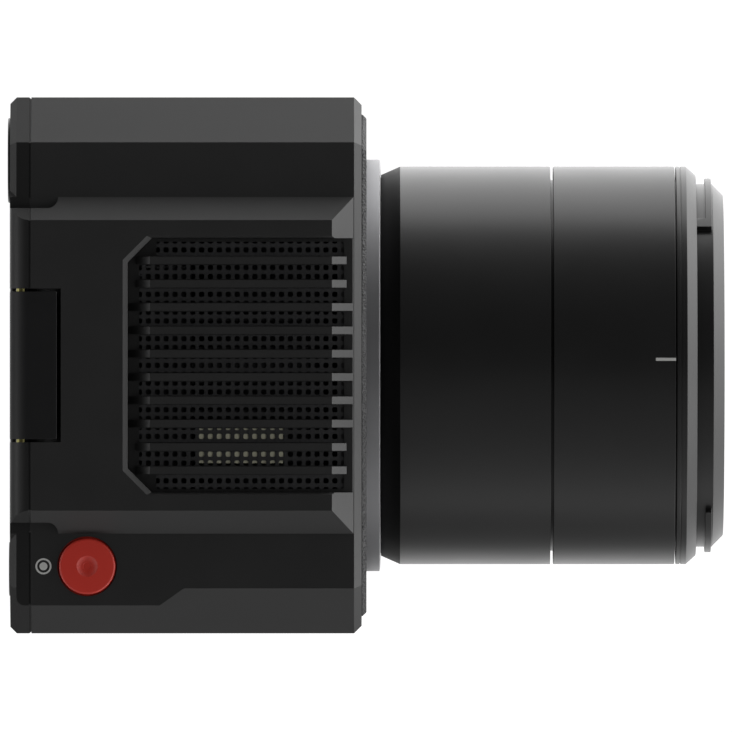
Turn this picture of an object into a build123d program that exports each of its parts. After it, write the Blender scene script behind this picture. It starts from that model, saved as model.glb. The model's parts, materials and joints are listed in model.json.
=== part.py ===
from build123d import *
import math
import os

# A fan-cooled box camera with an interchangeable lens, in millimetres.
# +X points forward along the lens, +Y to the camera's left and +Z up.
# The part stands on z = 0, and x = 0 is the middle of its whole length.

# ---------------------------------------------------------------- driving sizes

# Camera body, from back to front
dial_proud = 0.67
rear_cover_thickness = 4.0
shell_length = 64.43
bezel_thickness = 1.6
front_cover_thickness = 0.97

# Camera body across
body_width = 106.86
body_height = 91.9
corner_chamfer = 9.03
bottom_chamfer = 4.0
wall = 3.0
end_chamfer = 1.3
bezel_chamfer = 1.5
bezel_rib = 3.5
bezel_rib_radius = 38.0
front_cover_inset = 3.4
front_cover_chamfer = 0.8
seam_width = 0.4
seam_depth = 0.3

# Raised middle of the top
hump_height = 4.6
hump_front_run = 4.3
hump_top_width = 57.8
hump_edge_radius = 3.95
hump_notch_width = 2.2
hump_notch_length = 7.5
hump_notch_ramp = 2.1

# Flat pad for the record button
pad_reach = 3.4
pad_length = 28.6
pad_ramp = 4.8
pad_back_margin = 1.3
pad_corner_radius = 1.6

# Grille over the outlet
grille_length = 44.93
grille_width = 50.6
grille_corner = 4.8
grille_floor = 1.0
grille_depth = 4.4
bar_count = 10
bar_pitch = 4.64
bar_thickness = 1.5
bar_root = 0.6
outer_bar_start = 1.6
outer_bar_end = 1.4
outer_slot_start = 3.4
slot_width = 2.8
slot_corner = 0.5
slot_length = 40.8
slot_front_margin = 1.9
sheet_thickness = 0.6
sheet_hole = 1.0
sheet_pitch = 3.55
sheet_margin = 3.0
sheet_front_margin = 1.0
recess_edge_back = 1.0
recess_edge_side = 0.45
recess_edge_depth = 0.6

# Base plate and tripod mount
base_length = 52.0
base_width = 84.0
base_flange = 1.5
base_spigot_margin = 6.0
base_thread_radius = 3.175
base_thread_depth = 8.5
base_boss_radius = 9.0
base_thread_end = 2.5
base_front_margin = 5.5
base_corner_radius = 3.0
base_edge = 0.4
locating_hole_radius = 2.25
locating_hole_depth = 3.5
locating_hole_spacing = 20.0

# Lens mount
lens_axis_height = 46.0
mount_height = 2.8
boss_radius = 41.3
boss_front_radius = 39.0
mount_ring_radius = 33.0
throat_radius = 27.0
bayonet_bore_radius = 24.9
lug_half_angle = 28.0
lug_thickness = 1.3
tab_half_angle = 25.0
tab_thickness = 1.9
twist_angle = 60.0
bayonet_angles = (90, 210, 330)
bezel_opening_radius = 27.5
backfocus = 20.0
lock_pin_radius = 1.2
lock_pin_circle = 30.3
release_angle = -45.5
release_boss_gap = 1.6
release_radius = 4.0
release_proud = 2.1
release_travel = 1.9
release_edge = 0.5
release_stem_radius = 3.0
release_arm_thickness = 1.5
release_arm_width = 6.0
lock_pin_proud = 1.0
mount_screw_circle_radius = 30.2
mount_screw_radius = 0.9
mount_screw_head = 1.9
mount_screw_sink = 1.2
contact_block_width = 18.0
contact_pins = 8
contact_pitch = 2.0
contact_circle = 21.6
contact_pin_radius = 0.6
contact_pin_proud = 0.8
contact_block_depth = 5.3
contact_foot_drop = 34.0

# Lens
barrel_radius = 39.9
barrel_wall = 2.4
barrel_web = 2.2
sleeve_wall = 1.7
sleeve_root = 6.0
lens_flange_thickness = 2.7
lens_throat_radius = 22.6
contact_block_rise = 3.6
ring_edge = 0.25
nose_groove = 0.2
nose_groove_place = 0.75
rear_barrel_length = 33.9
rear_bevel_length = 3.8
rear_bevel_depth = 1.7
ring_gap = 0.6
focus_ring_length = 24.3
nose_gap = 0.3
nose_rim_length = 2.0
nose_bevel_length = 2.0
nose_bevel_depth = 1.8
neck_depth = 3.5
neck_length = 3.3
front_ring_length = 2.17
front_ring_depth = 3.6
front_ring_tip_depth = 5.9
filter_bore_depth = 6.7
hood_lug_depth = 2.4
hood_lug_length = 1.2
hood_lug_half_angle = 38.3
hood_stop_angle = 4.0
core_radius = 26.1
core_bore_radius = 24.2
rear_lens_radius = 20.0
rear_lens_seat = 18.0
rear_lens_length = 9.0
iris_length = 6.0
iris_opening = 14.0
focus_cell_gap = 6.0
focus_cell_length = 9.0
focus_lens_radius = 20.0
focus_lens_seat = 18.5
focus_travel = 3.0
front_lens_inset = 2.6
front_lens_seat_inset = 5.2
front_lens_bow = 4.0
front_cell_wall = 3.5
front_cell_recess = 2.0
front_lens_edge = 2.6
front_lens_seat_depth = 2.4
front_cell_lip = 0.8
front_cell_overlap = 4.0
seat_step = 1.5

# Rear screen and its hinge
screen_side_margin = 22.93
screen_height = 59.5
screen_thickness = 3.6
screen_top_drop = 10.5
screen_glass_thickness = 1.0
screen_panel_thickness = 0.9
screen_rim = 3.0
screen_tray_wall = 1.5
screen_tray_margin = 1.3
screen_swing_gap = 0.6
screen_corner = 1.2
screen_edge = 0.4
flap_width = 29.4
flap_reach = 5.4
flap_thickness = 2.2
flap_gap = 0.8
flap_side_gap = 0.6
flap_foot_length = 8.0
flap_foot_depth = 0.8
flap_knuckle = 2.6
hinge_back = 2.3
hinge_drop = 3.4
hinge_pin_radius = 1.0
hinge_pin_reach = 3.5
hinge_swing_gap = 0.35

# Record button and its well
rec_radius = 5.6
rec_hole_radius = 5.95
rec_proud = 0.8
rec_travel = 1.2
rec_back = 15.4
rec_edge = 13.43
rec_bevel = 0.6
rec_dish_radius = 2.6
rec_dish_depth = 0.45
rec_lip = 2.0
rec_flange_radius = 6.6
rec_flange_thickness = 1.6
rec_flange_bore = 7.0
rec_switch_drop = 7.4
rec_switch_radius = 7.4
rec_switch_thickness = 2.0
rec_plunger_radius = 2.5
rec_well_radius = 9.5
rec_well_depth = 11.0

# Round button on the back
rear_button_radius = 5.6
rear_button_proud = 0.47
rear_button_travel = 0.4
rear_button_edge = 12.73
rear_button_bevel = 0.3
rear_button_lip = 2.4
rear_button_flange = 6.5
rear_button_flange_thickness = 0.8
rear_button_bore = 6.9
rear_switch_radius = 8.0
rear_switch_thickness = 1.4
plunger_radius = 2.2
rear_control_height = 64.0

# Dial on the back
dial_radius = 8.5
dial_edge = 12.43
dial_rim = 0.15
dial_groove = 0.3
dial_groove_depth = 0.6
dial_rim_depth = 1.4
dial_sleeve_radius = 7.5
dial_sleeve_reach = 1.5
dial_cap_radius = 6.5
dial_cap_travel = 0.4
encoder_radius = 9.0
encoder_length = 5.0

# Side door and side socket panel
door_length = 34.0
door_height = 42.0
door_thickness = 2.0
door_back_margin = 16.0
door_bottom = 21.0
door_corner = 1.5
door_pin_radius = 0.75
door_pin_reach = 2.2
finger_notch = 1.8
finger_notch_length = 12.0
panel_edge = 0.3
hatch_gap = 0.25
hatch_floor = 1.4
hatch_margin = 3.0
card_slot_start = 8.0
card_slot_length = 22.0
card_slot_rise = 15.0
card_slot_height = 9.0
card_slot_depth = 12.0
card_gap = 2.6
card_flange = 2.0
socket_sink = 0.4
socket_depth = 12.0
socket_hollow = 10.0
dc_radius = 5.0
dc_bore = 2.8
dc_pin_radius = 1.0
dc_rise = 33.0
usb_width = 9.4
usb_height = 3.6
usb_wall = 0.4
usb_tongue = 0.7
usb_depth = 9.0
usb_rise = 22.0
audio_radius = 3.2
audio_bore = 1.8
audio_rise = 9.0
audio_spacing = 12.0
socket_collar = 1.5

# Side inlets
vent_slots = 5
vent_pitch = 3.4
vent_height = 1.6
vent_length = 18.0
vent_back_margin = 8.0
vent_bottom = 67.5

# Cooling, from the sensor back
sensor_width = 39.0
sensor_height = 27.0
sensor_thickness = 1.5
sensor_board_thickness = 1.6
chamber_width = 64.0
chamber_height = 45.0
chamber_depth = 11.5
chamber_wall = 4.0
cold_plate_thickness = 3.0
cold_pad_gap = 0.8
cooler_size = 30.0
cooler_thickness = 3.4
hot_plate_thickness = 3.5
hot_plate_width = 51.0
fin_reach = 3.8
fin_top_length = 23.3
fin_top = 89.5
fin_count = 17
fin_thickness = 1.0
sink_slab = 2.5
fan_size = 40.0
fan_depth = 10.0
fan_axis_height = 67.5
fan_bore_radius = 18.7
fan_hub_radius = 9.0
fan_blades = 7
fan_screw_spacing = 32.0
block_length = 16.9
block_width = 7.0
block_side = 16.0
block_drop = 5.0
block_margin = 1.3
block_sheet_gap = 0.8
chamber_rise = 1.5
sink_foot = 20.0
post_radius = 3.5
post_side = 28.0
post_rise = 18.5
window_width = 44.0
window_height = 32.0
window_thickness = 2.0
window_seat = 3.0
window_lip = 2.0
sensor_board_width = 54.0
sensor_board_height = 35.0
cold_pad_width = 19.0
cold_pad_height = 15.0
cold_pin_radius = 2.0
cold_pin_side = 23.0
cold_pin_rise = 14.0
ceramic_thickness = 0.8
pellets = 4
pellet_size = 4.0

# Fan
fan_corner = 2.0
fan_strut = 1.6
fan_strut_width = 1.8
fan_bearing_radius = 2.2
fan_bearing_length = 4.0
fan_shaft_radius = 1.0
fan_tip_gap = 0.6
fan_back_gap = 2.1
fan_front_gap = 0.5
fan_blade_angle = 42.0
fan_blade_thickness = 0.9
fan_screw_hole = 1.6
fan_screw_head = 2.6

# Boards and screws
board_thickness = 1.6
board_side_margin = 13.43
board_bottom = 12.0
board_top = 82.0
board_back_gap = 7.0
chip_size = 24.0
chip_height = 2.0
chip_side = 27.0
chip_middle = 38.0
case_screw_radius = 1.25
case_screw_head = 2.3
case_screw_sink = 1.8
case_screw_head_length = 1.6
case_screw_hex = 1.1
case_screw_length = 8.5
case_thread_depth = 7.0
base_screw_head = 2.26
base_screw_hole = 2.6
standoff_radius = 2.4
standoff_edge = 2.0
standoff_low = 22.0
standoff_high = 79.0
case_boss_radius = 4.2
case_boss_length = 8.0
case_screw_edge = 6.83
case_screw_foot = 9.5
case_screw_drop = 14.9

# Fits
fit = 0.05
slide_fit = 0.1
clearance = 0.3
button_gap = 0.2

# ---------------------------------------------------------------- worked-out places

mount_face_gap = 0.05
barrel_gap = 0.1
body_length = rear_cover_thickness + shell_length + bezel_thickness
nose_length = nose_rim_length + nose_bevel_length + neck_length
lens_length = rear_barrel_length + ring_gap + focus_ring_length + nose_gap + nose_length
total_length = dial_proud + body_length + front_cover_thickness + mount_height
total_length += barrel_gap + lens_length + front_ring_length

back_x = dial_proud - total_length / 2
seam_x = back_x + rear_cover_thickness
shell_front_x = seam_x + shell_length
bezel_x = shell_front_x + bezel_thickness
cover_x = bezel_x + front_cover_thickness
flange_x = cover_x + mount_height

half_width = body_width / 2
far = 2 * body_width
screen_width = body_width - 2 * screen_side_margin
board_width = body_width - 2 * board_side_margin
standoff_side = board_width / 2 - standoff_edge
rec_side = half_width - rec_edge
rear_button_side = half_width - rear_button_edge
dial_side = half_width - dial_edge
case_screw_side = half_width - case_screw_edge
release_reach = boss_radius + release_boss_gap + release_radius + clearance
bottom_z = base_flange
ridge_z = bottom_z + body_height
top_z = ridge_z + hump_height
axis_z = lens_axis_height
case_screw_low = bottom_z + case_screw_foot
case_screw_high = ridge_z - case_screw_drop

neck_radius = barrel_radius - neck_depth
front_ring_radius = barrel_radius - front_ring_depth
front_ring_tip_radius = barrel_radius - front_ring_tip_depth
filter_bore_radius = barrel_radius - filter_bore_depth
hood_lug_radius = barrel_radius - hood_lug_depth
front_lens_radius = filter_bore_radius - front_lens_inset
front_lens_seat = filter_bore_radius - front_lens_seat_inset
lens_back_x = flange_x + barrel_gap
rear_barrel_end_x = lens_back_x + rear_barrel_length
focus_x = rear_barrel_end_x + ring_gap
focus_end_x = focus_x + focus_ring_length
nose_x = focus_end_x + nose_gap
nose_rim_x = nose_x + nose_rim_length
neck_x = nose_rim_x + nose_bevel_length
front_ring_x = neck_x + neck_length
lens_front_x = front_ring_x + front_ring_length

sensor_x = flange_x - backfocus
sensor_board_x = sensor_x - sensor_thickness - sensor_board_thickness
cold_x = sensor_board_x - cold_pad_gap - cold_plate_thickness
cooler_x = cold_x - cooler_thickness
hot_x = cooler_x - hot_plate_thickness
fin_x = hot_x - fin_reach
fan_x = fin_x - fan_depth
chamber_x = cold_x + cold_plate_thickness
chamber_front_x = chamber_x + chamber_depth
slab_z = axis_z + chamber_height / 2 + chamber_rise

grille_x = shell_front_x - grille_length
grille_floor_z = top_z - grille_depth
sheet_z = grille_floor_z - grille_floor - sheet_thickness

hinge_x = back_x + hinge_back
hinge_z = top_z - hinge_drop
flap_end_x = seam_x + flap_reach
screen_top_z = top_z - screen_top_drop
screen_x = back_x + screen_thickness
tray_x = screen_x + clearance

rec_x = back_x + rec_back
door_x = shell_front_x - door_back_margin - door_length
board_x = seam_x + board_back_gap

# ---------------------------------------------------------------- helpers


def block(x0, x1, y0, y1, z0, z1):
    """A box between two corners."""
    middle = ((x0 + x1) / 2, (y0 + y1) / 2, (z0 + z1) / 2)
    return Pos(*middle) * Box(x1 - x0, y1 - y0, z1 - z0)


def rod_x(radius, x0, x1, y, z):
    """A cylinder along X."""
    return Pos((x0 + x1) / 2, y, z) * Rot(0, 90, 0) * Cylinder(radius, x1 - x0)


def rod_y(radius, y0, y1, x, z):
    """A cylinder along Y."""
    return Pos(x, (y0 + y1) / 2, z) * Rot(90, 0, 0) * Cylinder(radius, y1 - y0)


def rod_z(radius, z0, z1, x, y):
    """A cylinder along Z."""
    return Pos(x, y, (z0 + z1) / 2) * Cylinder(radius, z1 - z0)


def prism_x(points, x0, x1):
    """An outline in Y and Z, drawn out along X."""
    face = Plane.YZ.offset(x0) * make_face(Polyline(*points, close=True))
    return extrude(face, x1 - x0)


def prism_y(points, y0, y1):
    """An outline in X and Z, drawn out along Y."""
    face = Plane.XZ.offset(-y1) * make_face(Polyline(*points, close=True))
    return extrude(face, y1 - y0)


def prism_z(points, z0, z1):
    """An outline in X and Y, drawn out along Z."""
    face = Plane.XY.offset(z0) * make_face(Polyline(*points, close=True))
    return extrude(face, z1 - z0)


def turned(points, y=0.0, z=None):
    """A profile of x and radius, turned about a line along X."""
    face = Plane.XZ * make_face(Polyline(*points, close=True))
    height = axis_z if z is None else z
    return Pos(0, y, height) * revolve(face, Axis.X, 360)


def turned_arc(points, middle_angle, half_angle):
    """A profile of x and radius, turned over an arc that is centred on an angle from +Y."""
    face = Plane.XY * make_face(Polyline(*points, close=True))
    start = Rot(middle_angle - half_angle, 0, 0) * face
    return Pos(0, 0, axis_z) * revolve(start, Axis.X, 2 * half_angle)


def tube_x(outer, inner, x0, x1, y, z):
    """A tube along X."""
    return rod_x(outer, x0, x1, y, z) - rod_x(inner, x0 - 1, x1 + 1, y, z)


def polar(radius, degrees):
    """A place round the lens axis, as Y and Z, with its angle from +Y."""
    turn = math.radians(degrees)
    return radius * math.cos(turn), axis_z + radius * math.sin(turn)


def save(name, shape):
    """Write one sub-part."""
    export_step(shape, f"parts/{name}.step")


# ---------------------------------------------------------------- outer form


def ridge_outline(inset):
    """The section of the body below the hump, moved in by an inset."""
    slant = inset * (math.sqrt(2) - 1)
    side = half_width - inset
    low = bottom_z + inset
    high = ridge_z - inset
    top = corner_chamfer - inset + slant
    foot = bottom_chamfer - inset + slant
    return [
        (-side + foot, low),
        (side - foot, low),
        (side, low + foot),
        (side, high - top),
        (side - top, high),
        (-side + top, high),
        (-side, high - top),
        (-side, low + foot),
    ]


def hump_form(inset, x0, x1):
    """The raised middle, with sloping sides."""
    slant = inset * (math.sqrt(2) - 1)
    half_top = hump_top_width / 2 - slant
    low = ridge_z - wall - 1
    half_low = half_top + top_z - inset - low
    points = [(-half_low, low), (half_low, low), (half_top, top_z - inset), (-half_top, top_z - inset)]
    return prism_x(points, x0, x1)


def hump_front_cut(inset):
    """What is cut off the front of the hump, along its front slope."""
    slant = inset * (math.sqrt(2) - 1)
    foot_x = shell_front_x - slant
    points = [
        (foot_x, ridge_z - inset),
        (foot_x - hump_front_run, top_z - inset),
        (foot_x - hump_front_run, top_z + 5),
        (foot_x + 5, top_z + 5),
        (foot_x + 5, ridge_z - inset),
    ]
    return prism_y(points, -half_width, half_width)


def pad_form():
    """The flat pad that carries the record button out over the right-hand chamfer."""
    inner = half_width - corner_chamfer
    start = back_x + pad_back_margin
    end = start + pad_length
    points = [
        (start, -inner + 2),
        (start, -inner - pad_reach),
        (end, -inner - pad_reach),
        (end + pad_ramp, -inner),
        (end + pad_ramp, -inner + 2),
    ]
    pad = prism_z(points, ridge_z - pad_reach - 1, ridge_z)
    corner = [e for e in pad.edges().filter_by(Axis.Z) if abs(e.center().X - start) < 0.01]
    corner = [e for e in corner if e.center().Y < -inner - pad_reach + 0.01]
    return fillet(corner, pad_corner_radius)


def hump_notches():
    """The places at the back where the foot of the hump's slope is cut in."""
    half_foot = hump_top_width / 2 + hump_height
    straight_x = back_x + hump_notch_length
    ramp_x = straight_x + hump_notch_ramp
    cut_y = half_foot - hump_notch_width
    cuts = []
    for side in (-1, 1):
        corner = (back_x - 1, side * (half_foot + 2))
        edge = Polyline(corner, (back_x - 1, side * cut_y), (straight_x, side * cut_y))
        bend = TangentArc((straight_x, side * cut_y), (ramp_x, side * half_foot), tangent=(1, 0))
        rest = Polyline((ramp_x, side * half_foot), (ramp_x, side * (half_foot + 2)), corner)
        face = make_face(edge + bend + rest)
        cuts.append(extrude(Plane.XY.offset(ridge_z) * face, hump_height + 1))
    return cuts


def outer_form():
    """The whole outside of the rear cover and main shell as one block."""
    form = prism_x(ridge_outline(0), back_x, shell_front_x)
    back_edges = form.faces().sort_by(Axis.X)[0].edges()
    form = chamfer(back_edges, end_chamfer)
    form += pad_form()
    hump = hump_form(0, back_x, shell_front_x) - hump_front_cut(0)
    for cut in hump_notches():
        hump -= cut
    low_z = ridge_z - wall - 1
    edge = [e for e in hump.edges().filter_by(Axis.Y) if abs(e.center().X - back_x) < 0.01]
    edge = [e for e in edge if abs(e.center().Z - top_z) < 0.01]
    hump = fillet(edge, hump_edge_radius)
    hump -= block(back_x - 1, back_x + end_chamfer, -half_width, half_width, low_z - 1, ridge_z - end_chamfer)
    return form + hump - seam_groove()


def seam_groove():
    """The fine groove round the body where the rear cover meets the main shell."""
    x0, x1 = seam_x - seam_width / 2, seam_x + seam_width / 2
    inner = half_width - corner_chamfer
    ring = block(x0, x1, -far, far, -far, far)
    ring -= prism_x(ridge_outline(seam_depth), x0 - 1, x1 + 1)
    ring -= hump_form(seam_depth, x0 - 1, x1 + 1)
    low = ridge_z - pad_reach - 1
    return ring - block(x0 - 1, x1 + 1, seam_depth - inner - pad_reach, 0, low, ridge_z - seam_depth)


def grille_outline(gap):
    """The recess in the top, with its two back corners cut off, opened by a gap."""
    half = grille_width / 2 + gap
    back = grille_x - gap
    cut = grille_corner
    return [
        (shell_front_x + 3, -half),
        (back + cut, -half),
        (back, -half + cut),
        (back, half - cut),
        (back + cut, half),
        (shell_front_x + 3, half),
    ]


def recess_mouth():
    """The bevel around the recess, widest along its back edge."""
    half = grille_width / 2 + recess_edge_side
    back = grille_x - recess_edge_back
    cut = grille_corner
    wide = [
        (shell_front_x + 3, -half),
        (back + cut, -half),
        (back, -half + cut),
        (back, half - cut),
        (back + cut, half),
        (shell_front_x + 3, half),
    ]
    low = Plane.XY.offset(top_z - recess_edge_depth) * make_face(Polyline(*grille_outline(0), close=True))
    high = Plane.XY.offset(top_z) * make_face(Polyline(*wide, close=True))
    return loft([low, high], ruled=True) + prism_z(wide, top_z, top_z + 2)


# ---------------------------------------------------------------- hinge and screen


def hinge_sweep(radius):
    """The space that the hinge flap turns in."""
    half = flap_width / 2 + flap_side_gap
    return rod_y(radius, -half, half, hinge_x, hinge_z)


def hinge_slot():
    """The slot in the top for the flap, with the hollow under it."""
    reach = math.hypot(flap_end_x - hinge_x, top_z - hinge_z) + hinge_swing_gap
    half = flap_width / 2 + flap_side_gap
    mouth = block(back_x - 1, flap_end_x + flap_gap, -half, half, hinge_z, top_z + 1)
    return hinge_sweep(reach) + mouth


def screen_recess():
    """The recess in the rear cover for the screen, and the way up to the hinge."""
    half = screen_width / 2 + clearance
    low = screen_top_z - screen_height - clearance
    recess = block(back_x - 1, tray_x, -half, half, low, screen_top_z + screen_swing_gap)
    half_flap = flap_width / 2 + flap_side_gap
    return recess + block(back_x - 1, tray_x, -half_flap, half_flap, screen_top_z, hinge_z)


def screen_tray(gap):
    """The tray behind the screen, which stands into the main shell."""
    margin = screen_tray_margin + gap
    half = screen_width / 2 + margin
    low = screen_top_z - screen_height - margin
    return block(seam_x, tray_x + screen_tray_wall + gap, -half, half, low, screen_top_z + margin)


def make_hinge_flap():
    """The flap over the rear edge, the knuckle on the pin and the foot in the screen."""
    half = flap_width / 2
    foot_x = screen_x - flap_foot_depth
    foot_z = screen_top_z - flap_foot_length
    outline = (
        Polyline(
            (foot_x, foot_z),
            (screen_x, foot_z),
            (screen_x, hinge_z - flap_knuckle),
            (hinge_x + flap_knuckle, hinge_z),
            (hinge_x + 1.5 * flap_knuckle, top_z - flap_thickness),
            (flap_end_x, top_z - flap_thickness),
            (flap_end_x, top_z),
            (back_x + hump_edge_radius, top_z),
        )
        + TangentArc((back_x + hump_edge_radius, top_z), (back_x, top_z - hump_edge_radius), tangent=(-1, 0))
        + Polyline(
            (back_x, top_z - hump_edge_radius),
            (back_x, screen_top_z),
            (foot_x, screen_top_z),
            (foot_x, foot_z),
        )
    )
    flap = extrude(Plane.XZ.offset(-half) * make_face(outline), flap_width)
    return flap - rod_y(hinge_pin_radius + fit, -half - 1, half + 1, hinge_x, hinge_z)


def make_hinge_pin():
    """The pin that the flap turns on."""
    half = flap_width / 2 + hinge_pin_reach
    return rod_y(hinge_pin_radius, -half, half, hinge_x, hinge_z)


def make_screen():
    """The screen's frame, display panel and cover glass."""
    half = screen_width / 2
    low = screen_top_z - screen_height
    frame = block(back_x, screen_x, -half, half, low, screen_top_z)
    frame = fillet(frame.edges().filter_by(Axis.X), screen_corner)
    frame = chamfer(frame.faces().sort_by(Axis.X)[0].edges(), screen_edge)
    rim = screen_rim
    opening_depth = screen_glass_thickness + screen_panel_thickness
    pocket = (back_x - 1, back_x + opening_depth, -half + rim, half - rim, low + rim, screen_top_z - rim)
    frame -= block(*pocket)
    half_flap = flap_width / 2
    foot_x, foot_z = screen_x - flap_foot_depth, screen_top_z - flap_foot_length
    frame -= block(foot_x, screen_x + 1, -half_flap, half_flap, foot_z, screen_top_z + 1)
    glass_x = back_x + screen_glass_thickness
    glass = block(back_x + fit, glass_x, pocket[2], pocket[3], pocket[4], pocket[5])
    panel = block(glass_x, back_x + opening_depth, pocket[2], pocket[3], pocket[4], pocket[5])
    return frame, glass, panel


# ---------------------------------------------------------------- controls


rec_y = -rec_side
rec_foot_z = ridge_z - rec_lip - rec_flange_thickness - button_gap


def rec_well():
    """The closed well that the record button works in."""
    return rod_z(rec_well_radius, ridge_z - rec_well_depth, ridge_z, rec_x, rec_y)


def rec_well_cut():
    """The stepped bore of the record button's well."""
    switch_z = ridge_z - rec_switch_drop
    cut = rod_z(rec_hole_radius, ridge_z - rec_lip - 1, ridge_z + 2, rec_x, rec_y)
    cut += rod_z(rec_flange_bore, switch_z, ridge_z - rec_lip, rec_x, rec_y)
    return cut + rod_z(rec_switch_radius + slide_fit, ridge_z - rec_well_depth - 1, switch_z, rec_x, rec_y)


def make_rec_button():
    """The red button, with a shallow dish in its middle and a flange below."""
    top = ridge_z + rec_proud
    cap = rod_z(rec_radius, rec_foot_z, top, rec_x, rec_y)
    cap = chamfer(cap.edges().sort_by(Axis.Z)[-1], rec_bevel)
    dish = Cone(rec_dish_radius / 2, rec_dish_radius, rec_dish_depth)
    cap -= Pos(rec_x, rec_y, top - rec_dish_depth / 2) * dish
    return cap + rod_z(rec_flange_radius, rec_foot_z, rec_foot_z + rec_flange_thickness, rec_x, rec_y)


def make_rec_switch():
    """The switch under the record button, on its round board."""
    top = ridge_z - rec_switch_drop
    board = rod_z(rec_switch_radius, top - rec_switch_thickness, top, rec_x, rec_y)
    return board + rod_z(rec_plunger_radius, top, rec_foot_z - rec_travel - button_gap, rec_x, rec_y)


rear_button_y = -rear_button_side
rear_button_foot_x = back_x + rear_button_lip + slide_fit + rear_button_flange_thickness


def rear_button_cut():
    """The stepped hole in the rear cover for the round button."""
    y, z = rear_button_y, rear_control_height
    cut = rod_x(rear_button_radius + clearance, back_x - 1, seam_x, y, z)
    return cut + rod_x(rear_button_bore, back_x + rear_button_lip, seam_x + 1, y, z)


def make_rear_button():
    """The round button on the back, with its flange."""
    y, z = rear_button_y, rear_control_height
    cap = rod_x(rear_button_radius, back_x - rear_button_proud, rear_button_foot_x, y, z)
    cap = chamfer(cap.edges().sort_by(Axis.X)[0], rear_button_bevel)
    flange_x0 = rear_button_foot_x - rear_button_flange_thickness
    return cap + rod_x(rear_button_flange, flange_x0, rear_button_foot_x, y, z)


def make_rear_switch():
    """The switch behind the rear button."""
    y, z = rear_button_y, rear_control_height
    plunger_x = rear_button_foot_x + rear_button_travel + slide_fit
    switch = rod_x(rear_switch_radius, seam_x, seam_x + rear_switch_thickness, y, z)
    return switch + rod_x(plunger_radius, plunger_x, seam_x, y, z)


def dial_cut():
    """The stepped hole in the rear cover for the dial."""
    y, z = dial_side, rear_control_height
    cut = rod_x(dial_radius + clearance, back_x - 1, back_x + dial_rim_depth + clearance, y, z)
    return cut + rod_x(dial_sleeve_radius + slide_fit, back_x, seam_x + 1, y, z)


def make_dial():
    """The low dial, a grooved rim and a sleeve round the cap."""
    face = back_x - dial_proud
    bore = dial_cap_radius + button_gap
    groove_radius = dial_radius - dial_groove_depth
    profile = [
        (face, bore),
        (face, dial_radius - dial_rim),
        (face + dial_rim, dial_radius),
        (back_x - dial_groove, dial_radius),
        (back_x - dial_groove, groove_radius),
        (back_x, groove_radius),
        (back_x, dial_radius),
        (back_x + dial_rim_depth, dial_radius),
        (back_x + dial_rim_depth, dial_sleeve_radius),
        (seam_x + dial_sleeve_reach, dial_sleeve_radius),
        (seam_x + dial_sleeve_reach, bore),
    ]
    return turned(profile, dial_side, rear_control_height)


def make_dial_cap():
    """The press cap in the middle of the dial."""
    cap = rod_x(dial_cap_radius, back_x - dial_proud, seam_x - button_gap, dial_side, rear_control_height)
    return chamfer(cap.edges().sort_by(Axis.X)[0], button_gap)


def make_dial_encoder():
    """The encoder behind the dial, with the cap's switch in its middle."""
    y, z = dial_side, rear_control_height
    floor_x = seam_x + dial_sleeve_reach + dial_cap_travel
    case = rod_x(encoder_radius, seam_x, seam_x + encoder_length, y, z)
    case -= rod_x(dial_sleeve_radius + clearance, seam_x - 1, floor_x, y, z)
    return case + rod_x(plunger_radius, seam_x + dial_cap_travel, floor_x, y, z)


# ---------------------------------------------------------------- side door and sockets


def hatch_cut(side):
    """The shallow recess in a side wall for a door or a panel."""
    face = half_width + 1
    floor = half_width - door_thickness - hatch_gap
    x0, x1 = door_x - hatch_gap, door_x + door_length + hatch_gap
    z0, z1 = door_bottom - hatch_gap, door_bottom + door_height + hatch_gap
    if side > 0:
        return block(x0, x1, floor, face, z0, z1)
    return block(x0, x1, -face, -floor, z0, z1)


def hatch_backing(side):
    """The wall behind a side recess."""
    outer = half_width - 1
    inner = half_width - door_thickness - hatch_gap - hatch_floor
    x0, x1 = door_x - hatch_margin, door_x + door_length + hatch_margin
    z0, z1 = door_bottom - hatch_margin, door_bottom + door_height + hatch_margin
    if side > 0:
        return block(x0, x1, inner, outer, z0, z1)
    return block(x0, x1, -outer, -inner, z0, z1)


door_axis_x = door_x + door_thickness / 2
door_axis_y = -(half_width - door_thickness / 2)
door_top = door_bottom + door_height
card_x0 = door_x + card_slot_start
card_x1 = card_x0 + card_slot_length
card_z0 = door_bottom + card_slot_rise
card_z1 = card_z0 + card_slot_height
hatch_face = half_width - door_thickness - hatch_gap
hatch_back = hatch_face - hatch_floor


def make_door():
    """The card door, round along its hinge edge, with a finger notch at the free edge."""
    end_x = door_x + door_length
    door = block(door_axis_x, end_x, -half_width, door_thickness - half_width, door_bottom, door_top)
    free = [e for e in door.edges().filter_by(Axis.Y) if e.center().X > end_x - 0.1]
    door = fillet(free, door_corner)
    door += rod_z(door_thickness / 2, door_bottom, door_top, door_axis_x, door_axis_y)
    notch = Rot(0, 0, 45) * Box(finger_notch, finger_notch, finger_notch_length)
    door -= Pos(end_x, -half_width, (door_bottom + door_top) / 2) * notch
    return door - rod_z(door_pin_radius + fit, door_bottom - 1, door_top + 1, door_axis_x, door_axis_y)


def make_door_pin():
    """The upright pin of the card door."""
    z0, z1 = door_bottom - door_pin_reach, door_top + door_pin_reach
    return rod_z(door_pin_radius, z0, z1, door_axis_x, door_axis_y)


def make_card_slot():
    """The card reader behind the door."""
    body = block(card_x0, card_x1, -hatch_face, card_slot_depth - hatch_face, card_z0, card_z1)
    mouth = (card_z0 + card_z1 - card_gap) / 2
    end_y = card_slot_depth - card_flange - hatch_face
    body -= block(card_x0 + card_flange, card_x1 - card_flange, -half_width, end_y, mouth, mouth + card_gap)
    x0, x1 = card_x0 - card_flange, card_x1 + card_flange
    z0, z1 = card_z0 - card_flange, card_z1 + card_flange
    return body + block(x0, x1, -hatch_back, socket_collar - hatch_back, z0, z1)


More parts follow.
